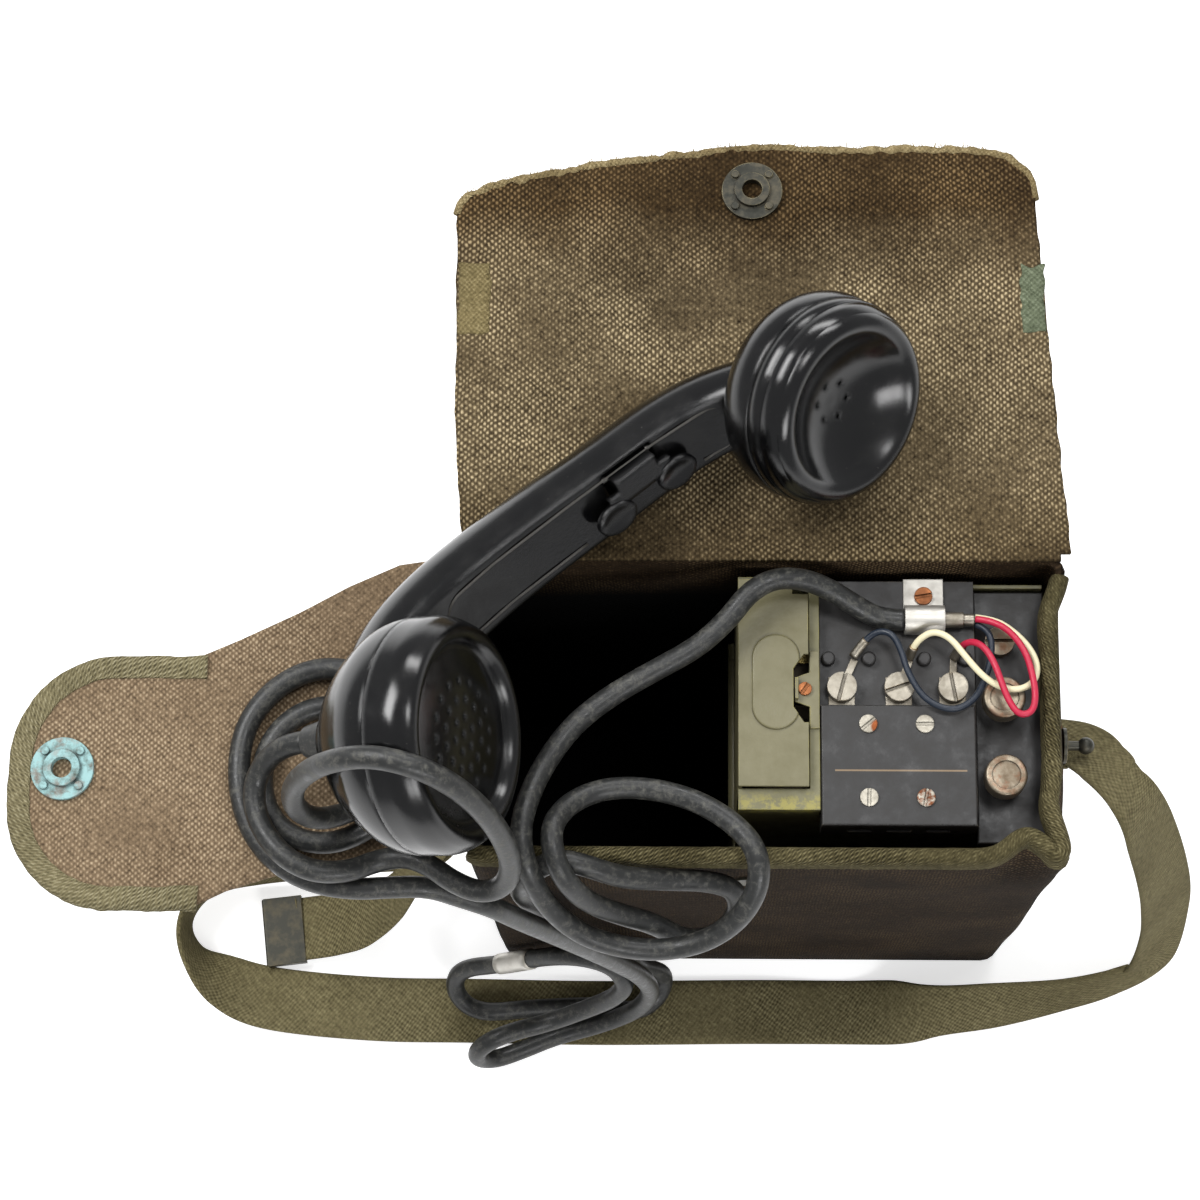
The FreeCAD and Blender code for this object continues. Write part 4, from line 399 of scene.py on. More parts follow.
# %% Frayed rim
random.seed(7)
rim_line = [lid_point(k / 160, 1.0) + mm(0, -0.7, 0.2) for k in range(161)]
rim = carried("lid_torn_rim", rim_line, circle(0.0017, 9),
              size=lambda k: 1.0 + 0.55 * noise.noise(Vector((k * 0.31, 4.0, 0))))
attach(rim, "lid_front")


def tufts(name, places, body, length, spread):
    """Short threads that stand out of an edge, each a thin bent spike of cloth."""
    thick = 0.00016
    points, faces, cloth = [], [], []
    for place, outward in places:
        lean = Vector([random.uniform(-1, 1) for _ in range(3)]) * spread
        way = (outward + lean).normalized()
        long = length * random.uniform(0.4, 1.0)
        bend = Vector([random.uniform(-1, 1) for _ in range(3)]) * (long * 0.35)
        side = way.orthogonal().normalized() * thick
        other = way.cross(side).normalized() * thick
        base = len(points)
        for share, grow in ((0.0, 1.0), (0.55, 0.8)):
            middle = place + way * (long * share) + bend * (share * share)
            points += [middle + side * grow, middle + (other - side) * (0.6 * grow),
                       middle - (other + side) * (0.6 * grow)]
        points.append(place + way * long + bend)
        cloth += [(0.0, 0.0)] * 7
        for k in range(3):
            m = (k + 1) % 3
            faces.append((base + k, base + m, base + 3 + m, base + 3 + k))
            faces.append((base + 3 + k, base + 3 + m, base + 6))
        faces.append((base + 2, base + 1, base))
    fuzz = new_piece(name, points, faces, cloth)
    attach(fuzz, body)
    return fuzz


fuzz_places = []
for k in range(900):
    place = rim_line[random.randrange(1, 160)] + mm(random.uniform(-0.6, 0.6),
                                                    random.uniform(-1.2, 0.9),
                                                    random.uniform(-0.3, 1.1))
    fuzz_places.append((place, Vector((0, 0.8, 0.25))))
lid_fuzz = tufts("lid_rim_threads", fuzz_places, "lid_front", 0.0036, 0.9)


def patch(name, corners, height, body):
    """A ragged patch of old tape lying on the lid, as a low lumpy pad."""
    (x0, x1), (y0, y1) = corners

    def point(s, t):
        x = x0 + (x1 - x0) * s
        y = y0 + (y1 - y0) * t
        edge = min(s, 1 - s, t, 1 - t)
        x += 1.3 * waves(x, y, 4.0, 11.0) * (1 if 0 < s < 1 else 0.6)
        y += 1.6 * waves(x, y, 5.0, 12.0)
        rise = height * ease(edge, 0.0, 0.16) * (1 + 0.5 * waves(x, y, 2.2, 13.0))
        return mm(x, y, mouth + lid_height(x, y) + 0.95 + rise)

    piece = slab(name, point, 26, 40, 0.0008)
    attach(piece, body)
    return piece


left_patch = patch("lid_corner_left", ((-103.6, -93.0), (128.0, 153.0)), 0.9, "lid")
right_patch = patch("lid_corner_right", ((86.3, 94.2), (128.0, 152.5)), 0.9, "lid")

# %% [markdown]
# The side flap hangs out to the left. It narrows from the bag to a rounded end, where a
# binding tape is folded over the raw edge and stitched down. The tape stops on both sides
# in a pucker where it was cut.

# %% Side flap
flap_start, taper_end, flap_end = -99.8, -184.8, -245.8
flap_front, flap_back, flap_round = -68.0, 14.0, 34.0
front_side = [(-184.8, -67.6), (-174.5, -62.5), (-150.4, -54.8), (-118.3, -48.6),
              (-98.8, -48.5)]
back_side = [(-190.6, 14.2), (-184.8, 15.4), (-173.0, 20.6), (-153.5, 30.0), (-137.3, 39.0),
             (-120.9, 46.4), (-108.0, 48.4), (-98.8, 48.5)]


def flap_side(x, front):
    """The flap's front or back edge at x, in millimetres."""
    wide = flap_front if front else flap_back
    if x >= taper_end:
        return between(x, front_side if front else back_side)
    past = (flap_end + flap_round) - x
    if past <= 0:
        return wide
    drop = flap_round - math.sqrt(max(flap_round ** 2 - past ** 2, 0.0))
    return wide + drop if front else wide - drop


def flap_height(x, y):
    """Slack in the cloth, only out where no cord lies on it."""
    free = ease(-x, 176.0, 200.0) * ease(math.dist((x, y), (-229.0, -23.0)), 11.0, 24.0)
    ridge = 1.2 * math.exp(-((x + 190.0) / 9.0) ** 2)
    return free * (0.9 * waves(x, y, 30.0, 21.0) + ridge)


def flap_point(s, t):
    x = flap_start + (flap_end - flap_start) * (1 - (1 - s) ** 1.25 if s < 1 else 1)
    front, back = flap_side(x, True), flap_side(x, False)
    y = front + (back - front) * t
    return mm(x, y, mouth + flap_height(x, y))


flap = slab("side_flap_canvas", flap_point, 110, 56, canvas)
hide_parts("side_flap")
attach(flap, "side_flap")

# %% Binding tape round the flap's end
def flap_rim(share):
    """A point on the flap's rim: 0 at the front pucker, 1 at the back one."""
    corner = flap_round * math.pi / 2
    straight = flap_back - flap_front - 2 * flap_round
    lead = abs(flap_end + flap_round - taper_end) + 1.5
    run = share * (2 * lead + 2 * corner + straight)
    x = flap_end + flap_round
    if run < lead:
        return (taper_end + 1.5 - run, flap_front), (0, -1)
    run -= lead
    if run < corner:
        a = run / flap_round
        return ((x - flap_round * math.sin(a), flap_front + flap_round * (1 - math.cos(a))),
                (-math.sin(a), -math.cos(a)))
    run -= corner
    if run < straight:
        return (flap_end, flap_front + flap_round + run), (-1, 0)
    run -= straight
    if run < corner:
        a = run / flap_round
        return ((x - flap_round * math.cos(a), flap_back - flap_round * (1 - math.sin(a))),
                (-math.cos(a), math.sin(a)))
    run -= corner
    return (x + run, flap_back), (0, 1)


def tape_section(width, thick):
    """A folded tape lying over an edge: full and round outside, pinched by its stitches."""
    half, rise = width / 2, thick / 2
    upper = [(-half, 0.0), (-half * 0.86, rise * 0.75), (-half * 0.45, rise * 1.02),
             (half * 0.1, rise * 1.0), (half * 0.55, rise * 0.82), (half * 0.8, rise * 0.62),
             (half * 0.94, rise * 0.8), (half, rise * 0.62)]
    lower = [(a, -b) for a, b in upper[1:]][::-1]
    return upper + lower


rim_steps = 150
rim_path, rim_ups = [], []
for k in range(rim_steps + 1):
    (x, y), (nx, ny) = flap_rim(k / rim_steps)
    inset = 2.6 + 0.5 * noise.noise(Vector((k * 0.13, 1.0, 0)))
    rim_path.append(mm(x - nx * inset, y - ny * inset, mouth + flap_height(x, y)))
    rim_ups.append(Vector((0, 0, 1)))
tape = [(a / 1000, b / 1000) for a, b in tape_section(7.8, 5.0)]


def rim_swell(k):
    ends = min(k, rim_steps - k)
    return 1.0 + 0.07 * noise.noise(Vector((k * 0.4, 9.0, 0))) + 0.12 * math.exp(-ends / 3.0)


flap_tape = carried("side_flap_tape", rim_path, tape, ups=rim_ups, size=rim_swell)
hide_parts("side_flap_binding")
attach(flap_tape, "side_flap")
print("flap rim in mm:", round(line_length(rim_path) * 1000))

# %% [markdown]
# The bag itself is sewn duck with upright walls that bulge a little between the corners.
# At the front right corner the mouth has been crushed inward and the corner kicks out, and
# the binding tape follows it. Both are given by one function, so the tape sits on the wall.

# %% Bag walls
half_width, half_depth, bag_height, corner = 98.5, 48.5, mouth, 7.0


def crush(x, y, z):
    """How far the front right corner of the mouth is pushed out of shape, in millimetres."""
    high = ease(z, 196.0, 240.0)
    front = ease(-y, 30.0, 46.0)
    dent = 7.0 * math.exp(-((x - 84.0) / 7.5) ** 2) * front
    kick = ease(x, 92.0, 99.0) * front
    side = 1.5 * math.exp(-((y + 33.0) / 7.0) ** 2) * ease(x, 90.0, 98.0)
    lean = 4.5 * ease(z, 216.0, 242.0) * ease(x, 90.0, 98.0) * ease(-y, -46.0, -30.0)
    return Vector((2.5 * kick - side, dent - 3.0 * kick, 1.6 * kick)) * high + Vector(
        (-lean, 0.0, 0.0))


def wall_point(turn, z, inset):
    """The wall at a share of the way round from the middle of the back, seen from above."""
    y_half = half_depth + 2.5 * z / bag_height - inset
    x_half = half_width - inset
    radius = max(corner - inset, 1.0)
    lengths = [x_half - radius, radius * math.pi / 2, 2 * (y_half - radius),
               radius * math.pi / 2, 2 * (x_half - radius), radius * math.pi / 2,
               2 * (y_half - radius), radius * math.pi / 2, x_half - radius]
    run = turn * sum(lengths)
    starts = {0: ((0, y_half), (1, 0)), 2: ((x_half, y_half - radius), (0, -1)),
              4: ((x_half - radius, -y_half), (-1, 0)),
              6: ((-x_half, -y_half + radius), (0, 1)),
              8: ((-x_half + radius, y_half), (1, 0))}
    centres = {1: ((x_half - radius, y_half - radius), 90),
               3: ((x_half - radius, -y_half + radius), 0),
               5: ((-x_half + radius, -y_half + radius), -90),
               7: ((-x_half + radius, y_half - radius), -180)}
    for k, length in enumerate(lengths):
        if run <= length or k == len(lengths) - 1:
            if k in centres:
                (cx, cy), begin = centres[k]
                angle = math.radians(begin - 90 * run / length)
                x, y = cx + radius * math.cos(angle), cy + radius * math.sin(angle)
            else:
                (x0, y0), (dx, dy) = starts[k]
                x, y = x0 + dx * run, y0 + dy * run
            break
        run -= length
    low = ease(z, 4.0, 40.0) * ease(bag_height - z, 4.0, 60.0)
    bulge = low * (0.7 + 1.2 * waves(x + y, z, 60.0, 31.0))
    out_x = math.copysign(ease(abs(x), 91.0, 98.0), x) * (1.0 if x > 0 else 0.1)
    out = Vector((out_x, math.copysign(ease(abs(y), 41.0, 48.0), y), 0.0))
    moved = crush(x, y, z)
    return mm(x, y, z) + (out * bulge + moved) * 0.001


around_bag = 2 * (2 * half_width + 2 * half_depth) / 1000

# The rows run out along the bottom, up the outside, over the raw edge, down the inside and
# back along the inner bottom. Each is a height, an inset and a share of the way out.
outside = [(bag_height * k / 70, 0.0, 1.0) for k in range(71)]
inside = [(bag_height - (bag_height - 2.5) * k / 60, 2.5, 1.0) for k in range(61)]
floor_shares = (0.0, 0.25, 0.5, 0.75, 0.92)
bag_rows = ([(0.0, 0.0, share) for share in floor_shares] + outside + inside
            + [(2.5, 2.5, share) for share in floor_shares[::-1]])
bag_columns = 220
bag_points, bag_cloth, bag_faces = [], [], []
for z, inset, share in bag_rows:
    for i in range(bag_columns):
        place = wall_point(i / bag_columns, z, inset)
        bag_points.append(Vector((place.x * share, place.y * share, place.z)))
        bag_cloth.append((i / bag_columns * around_bag, place.z))
for j in range(len(bag_rows) - 1):
    for i in range(bag_columns):
        k = (i + 1) % bag_columns
        bag_faces.append((j * bag_columns + i, (j + 1) * bag_columns + i,
                          (j + 1) * bag_columns + k, j * bag_columns + k))
bag = new_piece("bag_canvas", bag_points, bag_faces, bag_cloth)
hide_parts("canvas_bag")
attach(bag, "bag")
print("bag in mm:", [round(c * 1000) for c in bag.dimensions])

# %% Binding tape on the mouth
mouth_shares = [k / 700 for k in range(701)]
mouth_path = [p for p in (wall_point(s, bag_height - 0.4, 1.25) for s in mouth_shares)
              if (p.y < -0.0405 and p.x > -0.0955) or (p.x > 0.09 and p.y < 0.044)]
mouth_tape = [(a / 1000, b / 1000) for a, b in (
    (-2.9, -8.6), (-3.2, -7.2), (-3.0, -4.0), (-2.9, -1.4), (-2.2, 0.6), (-0.9, 1.7),
    (0.9, 1.7), (2.2, 0.6), (2.9, -1.4), (3.0, -4.0), (3.2, -7.2), (2.9, -8.6))]
binding = carried("mouth_tape", mouth_path, mouth_tape,
                  ups=[Vector((0, 0, 1))] * len(mouth_path),
                  size=lambda k: 1.0 + 0.06 * noise.noise(Vector((k * 0.12, 2.0, 5.0))))
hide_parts("mouth_binding")
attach(binding, "bag")
print("mouth tape in mm:", round(line_length(mouth_path) * 1000))

# %% [markdown]
# Where a flap folds from the wall, the cloth turns over in a small roll that lies between
# the bag and the flap.

# %% Rolls at the two folds
def fold_roll(name, start, end, out):
    """A half-round strip of cloth from the wall's top edge to the flap."""
    def point(s, t):
        place = start.lerp(end, s)
        angle = math.pi * (1 - t) * 0.5
        rise = 1.1 * math.sin(angle) + 0.25 * waves(place.x * 1000, place.y * 1000, 7.0, 41.0)
        return place + out * (-0.0026 + 0.0062 * t) + mm(0, 0, rise - 0.2)

    roll = slab(name, point, 90, 10, 0.0022)
    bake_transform(roll)
    return roll


lid_roll = fold_roll("lid_fold_roll", mm(-98.0, 51.0, mouth), mm(97.0, 51.0, mouth),
                     Vector((0, 1, 0)))
flap_roll = fold_roll("side_fold_roll", mm(-98.6, -47.0, mouth), mm(-98.6, 46.0, mouth),
                      Vector((-1, 0, 0)))

# %% [markdown]
# The strap is 25 mm cotton webbing. It is sewn to the right wall, falls in a wide bow, lies
# on edge and then flat along the ground in front of the bag, turns back on the left and
# runs up to its buckle. The free end comes down from the buckle to a metal tip.

# %% Carrying strap
strap_round = [
    ((98.4, -2.2, 193.0), (0.09, 0.81, -0.58)), ((107.8, -3.5, 195.0), (0.27, 0.75, -0.61)),
    ((114.2, -9.1, 198.0), (0.40, 0.70, -0.59)), ((120.9, -17.1, 198.5), (0.45, 0.68, -0.58)),
    ((128.1, -24.9, 188.0), (0.49, 0.68, -0.55)), ((138.1, -29.9, 153.0), (0.59, 0.65, -0.49)),
    ((148.2, -36.1, 108.0), (0.68, 0.63, -0.38)), ((156.1, -41.0, 56.0), (0.76, 0.55, -0.35)),
    ((155.1, -52.1, 19.0), (0.67, 0.17, -0.72)), ((141.2, -58.8, 13.5), (0.46, -0.11, -0.88)),
    ((121.8, -63.8, 12.8), (0.23, -0.31, -0.92)), ((95.2, -67.8, 11.0), (0.08, -0.57, -0.82)),
    ((70.3, -70.0, 9.7), (0.04, -0.72, -0.70)),
    ((44.9, -69.6, 0.9), (0, -1, 0)),
    ((0.0, -69.7, 0.9), (0, -1, 0)), ((-60.0, -70.5, 0.9), (0, -1, 0)),
    ((-110.0, -70.0, 0.9), (0, -1, 0)), ((-150.0, -69.5, 0.9), (0, -1, 0)),
    ((-190.0, -66.0, 3.2), (-0.15, -1, 0.12)), ((-209.0, -60.0, 8.8), (-0.4, -0.75, 0.55)),
    ((-221.0, -50.0, 12.8), (-0.25, -0.2, 0.95)), ((-225.0, -36.0, 13.2), (0, 0, 1)),
    ((-217.0, -24.0, 13.2), (0, 0, 1)), ((-198.0, -18.0, 13.6), (0, 0.1, 1)),
    ((-160.0, -13.0, 19.0), (0, 0.25, 1)), ((-128.0, -8.0, 45.0), (0.1, 0.75, 0.7)),
    ((-110.0, -3.0, 80.0), (0, 1, 0.2)), ((-105.0, 0.0, 113.0), (0, 1, 0)),
    ((-105.0, 0.0, 120.0), (0, 1, 0))]
strap_tail = [
    ((-108.6, 0.0, 120.0), (0, 1, 0)), ((-108.6, 0.0, 113.0), (0, 1, 0)),
    ((-112.0, -6.0, 92.0), (0.1, 1, 0.1)), ((-124.0, -17.0, 66.0), (0.25, 1, 0.2)),
    ((-136.0, -28.0, 40.0), (0.25, 1, 0.1)), ((-150.0, -34.5, 19.0), (0.2, 1, 0.0)),
    ((-164.0, -36.5, 8.0), (0.12, 1, 0.0)), ((-178.5, -38.0, 3.6), (0.1, 1, 0.0)),
    ((-181.5, -38.4, 3.5), (0.1, 1, 0.0))]


def through(values, position):
    """A smooth curve through a list of vectors, read at a fractional position."""
    k = min(int(position), len(values) - 2)
    share = position - k
    before = values[max(k - 1, 0)]
    here, there = values[k], values[k + 1]
    after = values[min(k + 2, len(values) - 1)]
    return 0.5 * ((2 * here) + (there - before) * share
                  + (2 * before - 5 * here + 4 * there - after) * share ** 2
                  + (3 * here - before - 3 * there + after) * share ** 3)


def webbing(name, sections, wide=25.4, thick=1.8):
    per = 14
    middles = [mm(*middle) for middle, _ in sections]
    sideways = [Vector(across).normalized() for _, across in sections]
    for k in range(1, len(sideways)):
        if sideways[k].dot(sideways[k - 1]) < 0:
            sideways[k] = -sideways[k]
    steps = (len(sections) - 1) * per
    path = [through(middles, k / per) for k in range(steps + 1)]
    tangents = directions(path)
    ups = []
    for k in range(steps + 1):
        across = through(sideways, k / per)
        ups.append(across.cross(tangents[k]).normalized())
    half, rise, edge = wide / 2000, thick / 2000, 0.0006
    section = [(-half, -rise + edge), (-half, rise - edge), (-half + edge, rise)]
    section += [(-half + edge + (2 * half - 2 * edge) * j / 8, rise) for j in range(1, 8)]
    section += [(half - edge, rise), (half, rise - edge), (half, -rise + edge)]
    section += [(half - edge - (2 * half - 2 * edge) * j / 8, -rise) for j in range(0, 9)]
    strip = carried(name, path, section, ups=ups)
    for vertex in strip.data.vertices:    # nothing sinks into the ground
        vertex.co.z = max(vertex.co.z, 0.0)
    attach(strip, "bag")
    print(name, "in mm:", round(line_length(path) * 1000))
    return strip


strap = webbing("strap_round", strap_round)
tail = webbing("strap_tail", strap_tail)
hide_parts("carry_strap")
splice = webbing("strap_splice", [
    ((-106.0, -70.0, 2.0), (0, -1, 0)), ((-80.0, -70.3, 2.1), (0, -1, 0)),
    ((-58.0, -70.5, 2.0), (0, -1, 0))], wide=24.6, thick=0.9)

# %% [markdown]
# The ear cap screws on to its cup with only a fine seam to show for it. A turned skirt
# carries the cup's full width up to the cap's rounded rim, with the two seams cut in it.

# %% Skirt of the ear cap
def turned(name, profile, centre, axis):
    """Revolve a closed profile of (radius, height) about an axis."""
    count = 96
    side = axis.orthogonal().normalized()
    other = axis.cross(side)
    points, faces, cloth = [], [], []
    for k in range(count):
        angle = 2 * math.pi * k / count
        out = side * math.cos(angle) + other * math.sin(angle)
        for radius, height in profile:
            points.append(centre + out * (radius / 1000) + axis * (height / 1000))
            cloth.append((angle * 0.03, height / 1000))
    steps = len(profile)
    for k in range(count):
        ahead = (k + 1) % count
        for j in range(steps):
            i = (j + 1) % steps
            faces.append((k * steps + j, ahead * steps + j, ahead * steps + i,
                          k * steps + i))
    return new_piece(name, points, faces, cloth)


ear_face = mm(27.4, 85.7, 286.24)
ear_axis = Vector((0.6558, -0.4778, 0.5845)).normalized()
skirt_profile = [(33.8, -14.1), (33.9, -12.0), (33.7, -8.6), (33.1, -8.3), (33.5, -7.9),
                 (32.9, -5.4), (31.6, -3.0), (29.6, -1.1), (27.6, -0.15), (27.4, -1.2),
                 (29.5, -3.6), (31.2, -8.0), (31.3, -14.1)]
skirt = turned("ear_cap_skirt", skirt_profile, ear_face, ear_axis)
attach(skirt, "handset")

# %% [markdown]
# A thin raised line runs round the flat inner side of the handle, with rounded ends, and the
# talk switch's two wings are full, rounded leaves. Both follow the handle, whose own
# directions are along it, across it and out of its flat side.

# %% Handle's outline and the switch's wings
along = Vector((0.7687, 0.6382, -0.0436))
across = Vector((-0.3576, 0.4853, 0.7979))
outward = Vector((0.5303, -0.5977, 0.6012))
handset_middle = mm(-32.1, 30.9, 292.9)


def on_handset(u, s, w):
    return handset_middle + (along * u + across * s + outward * w) / 1000


def inner_side(u):
    """How far out the handle's flat side lies at a place along it, in millimetres."""
    return between(u, [(-81, -36.2), (-62, -42.3), (-38, -45.0), (-5, -45.0), (28, -44.0),
                       (47, -41.6), (61, -37.0), (72, -32.5)])


outline = []
for k in range(41):
    outline.append((-52 + 100 * k / 40, 8.6))
for k in range(1, 16):
    a = math.pi * k / 16
    outline.append((48 + 7.0 * math.sin(a), 8.6 * math.cos(a)))
for k in range(41):
    outline.append((48 - 100 * k / 40, -8.6))
for k in range(1, 16):
    a = math.pi * k / 16
    outline.append((-52 - 8.6 * math.sin(a), -8.6 * math.cos(a)))
outline = [(u, s) for u, s in outline if not (-6 < u < 40 and s < 0)]
start = next(k for k in range(len(outline)) if outline[k][0] <= -6 and outline[k][1] < 0)
outline = outline[start:] + outline[:start]
bead_line = [on_handset(u, s, inner_side(u) + 0.15) for u, s in outline]
bead = carried("handle_outline", bead_line, circle(0.00042, 8),
               ups=[outward] * len(bead_line))
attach(bead, "handset")


def leaf(name, u_middle, s_middle, long_half, wide_half):
    """A dished, rounded wing with a full rim."""
    rings = [(0.35, 0.05), (0.7, 0.2), (0.86, 0.6), (0.95, 0.62), (1.0, 0.2), (1.0, -1.6),
             (0.9, -2.0), (0.3, -2.0)]
    points, faces, cloth = [on_handset(u_middle, s_middle, -39.0)], [], [(0.0, 0.0)]
    count = 40
    for share, rise in rings:
        for k in range(count):
            a = 2 * math.pi * k / count
            u, s = long_half * share * math.cos(a), wide_half * share * math.sin(a)
            points.append(on_handset(u_middle + u, s_middle + s, -39.0 + rise))
            cloth.append((u / 1000, s / 1000))
    for k in range(count):
        ahead = (k + 1) % count
        faces.append((0, 1 + k, 1 + ahead))
        for j in range(len(rings) - 1):
            a, b = 1 + j * count, 1 + (j + 1) * count
            faces.append((a + k, b + k, b + ahead, a + ahead))
    faces.append(tuple(1 + (len(rings) - 1) * count + k for k in range(count))[::-1])
    piece = new_piece(name, points, faces, cloth)
    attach(piece, "talk_switch")
    return piece


wings = [leaf("switch_wing_near", 4.5, -3.2, 7.4, 5.4),
         leaf("switch_wing_far", 29.5, -3.2, 7.4, 5.4)]

# %% [markdown]
# Every finish starts from what the real thing is made of. One function turns a written
# colour into the linear numbers that Blender wants, and one adds a shader node with its
# settings, values and links. A new finish gets the standard surface shader and the places
# that its patterns are read from.

# %% Colour, node and finish
def tone(hex_text):
    parts = [int(hex_text[k:k + 2], 16) / 255 for k in (1, 3, 5)]
    return tuple(c / 12.92 if c <= 0.04045 else ((c + 0.055) / 1.055) ** 2.4
                 for c in parts) + (1.0,)


def add(tree, kind, inputs=None, stops=None, **settings):
    made = tree.nodes.new("ShaderNode" + kind)
    for setting, value in settings.items():
        setattr(made, setting, value)
    for socket, value in (inputs or {}).items():
        if isinstance(value, bpy.types.NodeSocket):
            tree.links.new(value, made.inputs[socket])
        else:
            made.inputs[socket].default_value = value
    if stops:
        ramp = made.color_ramp
        while len(ramp.elements) < len(stops):
            ramp.elements.new(0.5)
        for element, (place, shade) in zip(ramp.elements, stops):
            element.position = place
            element.color = tone(shade) if isinstance(shade, str) else (shade,) * 3 + (1.0,)
    return made


def finish(name, roughness=0.5, metallic=0.0, ior=1.5, specular=0.5):
    material = bpy.data.materials.new(name)
    material.use_nodes = True
    tree = material.node_tree
    shader = tree.nodes["Principled BSDF"]
    for socket, value in (("Roughness", roughness), ("Metallic", metallic), ("IOR", ior),
                          ("Specular IOR Level", specular)):
        shader.inputs[socket].default_value = value
    where = add(tree, "TexCoord").outputs["Object"]
    return material, tree, shader, where


def surface(tree, shader, colour, dull, bump):
    for result, socket in ((colour, "Base Color"), (dull, "Roughness"), (bump, "Normal")):
        tree.links.new(result, shader.inputs[socket])


def cover(piece, material):
    piece.data.materials.clear()
    piece.data.materials.append(material)


# %% [markdown]
# Cotton duck is a plain weave of thick plied yarn. Seen close, the crossing yarns make rows
# of small rounded beads, each row shifted by half a bead: the product of two cosines. Here
# a bead is 1.25 mm by 1.1 mm. The colour follows the height of the weave, darkest in the
# gaps and palest on the tops of the yarn, and years of handling leave dark and pale clouds
# a few centimetres across.

# %% Woven duck
def woven(name, gap, yarn, crest, cloud, bead=(1.25, 1.1), depth=0.5, dark=0.35,
          slant=0.0, band=None, columns=0.0, strong=1.0):
    material, tree, shader, where = finish(name, roughness=0.95, specular=0.1)
    cloth = add(tree, "UVMap", uv_map="cloth").outputs["UV"]
    drift = add(tree, "TexNoise", {"Vector": cloth, "Scale": 180.0, "Detail": 2.0})
    shift = add(tree, "VectorMath", {0: drift.outputs["Color"], 1: (0.5, 0.5, 0.5)},
                operation="SUBTRACT")
    scaled = add(tree, "VectorMath", {0: shift.outputs[0], "Scale": 0.5 * bead[0] / 300},
                 operation="SCALE")
    moved = add(tree, "VectorMath", {0: cloth, 1: scaled.outputs[0]}, operation="ADD")
    axes = add(tree, "SeparateXYZ", {0: moved.outputs[0]})
    leaning = add(tree, "Math", {0: axes.outputs["Y"], 1: slant, 2: axes.outputs["X"]},
                  operation="MULTIPLY_ADD")
    waves_of = []
    for source, size in ((leaning.outputs[0], bead[0]), (axes.outputs["Y"], bead[1])):
        angle = add(tree, "Math", {0: source, 1: math.pi * 1000 / size},
                    operation="MULTIPLY")
        waves_of.append(add(tree, "Math", {0: angle.outputs[0]}, operation="COSINE"))
    beads = add(tree, "Math", {0: waves_of[0].outputs[0], 1: waves_of[1].outputs[0]},
                operation="MULTIPLY")
    ribs = add(tree, "Math", {0: waves_of[0].outputs[0]}, operation="ABSOLUTE")
    ribbed = add(tree, "Math", {0: ribs.outputs[0], 1: columns, 2: beads.outputs[0]},
                 operation="MULTIPLY_ADD")
    wear = add(tree, "TexNoise", {"Vector": where, "Scale": 30.0, "Detail": 5.0})
    strength = add(tree, "MapRange", {0: wear.outputs["Fac"], 1: 0.38, 2: 0.62,
                                      3: 0.35 * strong, 4: strong})
    woven_height = add(tree, "Math", {0: ribbed.outputs[0], 1: strength.outputs[0]},
                       operation="MULTIPLY")
    thick_thin = add(tree, "TexNoise", {"Vector": cloth, "Scale": 420.0, "Detail": 5.0,
                                        "Roughness": 0.75})
    uneven = add(tree, "Math", {0: thick_thin.outputs["Fac"], 1: -0.5}, operation="ADD")
    height = add(tree, "Math", {0: uneven.outputs[0], 1: 3.2, 2: woven_height.outputs[0]},
                 operation="MULTIPLY_ADD")
    shade = add(tree, "MapRange", {0: height.outputs[0], 1: 0.5 * columns - 1.1,
                                   2: 0.6 * columns + 1.3})
    threads = add(tree, "ValToRGB", {0: shade.outputs[0]},
                  stops=[(0.0, gap), (0.5, yarn), (1.0, crest)])
    clouds = add(tree, "TexNoise", {"Vector": where, "Scale": 22.0, "Detail": 6.0,
                                    "Roughness": 0.6})
    cloud_map = add(tree, "MapRange", {0: clouds.outputs["Fac"], 1: 0.44, 2: 0.68,
                                       3: 0.0, 4: dark})
    colour = add(tree, "Mix", {0: cloud_map.outputs[0], 6: threads.outputs["Color"],
                               7: tone(cloud)}, data_type="RGBA", blend_type="MULTIPLY")
    last = colour.outputs[2]
    if band:
        last = band(tree, where, last)
    tree.links.new(last, shader.inputs["Base Color"])
    bump = add(tree, "Bump", {"Strength": depth, "Distance": 0.0006,
                              "Height": height.outputs[0]})
    tree.links.new(bump.outputs[0], shader.inputs["Normal"])
    return material


def lid_crease_shade(tree, where, colour):
    """The panel beyond the crease is painted darker and browner as painted shade, and the cloth
    is darker toward the bag.
    """
    axes = add(tree, "SeparateXYZ", {0: where})
    ragged = add(tree, "TexNoise", {"Vector": where, "Scale": 35.0, "Detail": 4.0})
    place = add(tree, "Math", {0: ragged.outputs["Fac"], 1: 0.035, 2: axes.outputs["Y"]},
                operation="MULTIPLY_ADD")
    beyond = add(tree, "MapRange", {0: place.outputs[0], 1: 0.158, 2: 0.192, 3: 0.0,
                                    4: 0.9})
    # Painted shade: beyond the crease the cloth is multiplied darker.
    shade_past_crease = add(tree, "Mix", {0: beyond.outputs[0], 6: colour, 7: tone("#9c8a72")},
                 data_type="RGBA", blend_type="MULTIPLY")
    near = add(tree, "MapRange", {0: place.outputs[0], 1: 0.095, 2: 0.068, 3: 0.0, 4: 0.5})
    near_bag = add(tree, "Mix", {0: near.outputs[0], 6: shade_past_crease.outputs[2],
                                 7: tone("#a09478")}, data_type="RGBA",
                   blend_type="MULTIPLY")
    return near_bag.outputs[2]


lid_duck = woven("duck_lid", "#21190f", "#6c5e46", "#c4b28e", "#6f624c", band=lid_crease_shade,
                 dark=0.5, columns=0.9)
flap_duck = woven("duck_side_flap", "#43372a", "#826f58", "#bba88c", "#8f7d68",
                  bead=(1.1, 1.0), strong=0.8, columns=0.7)


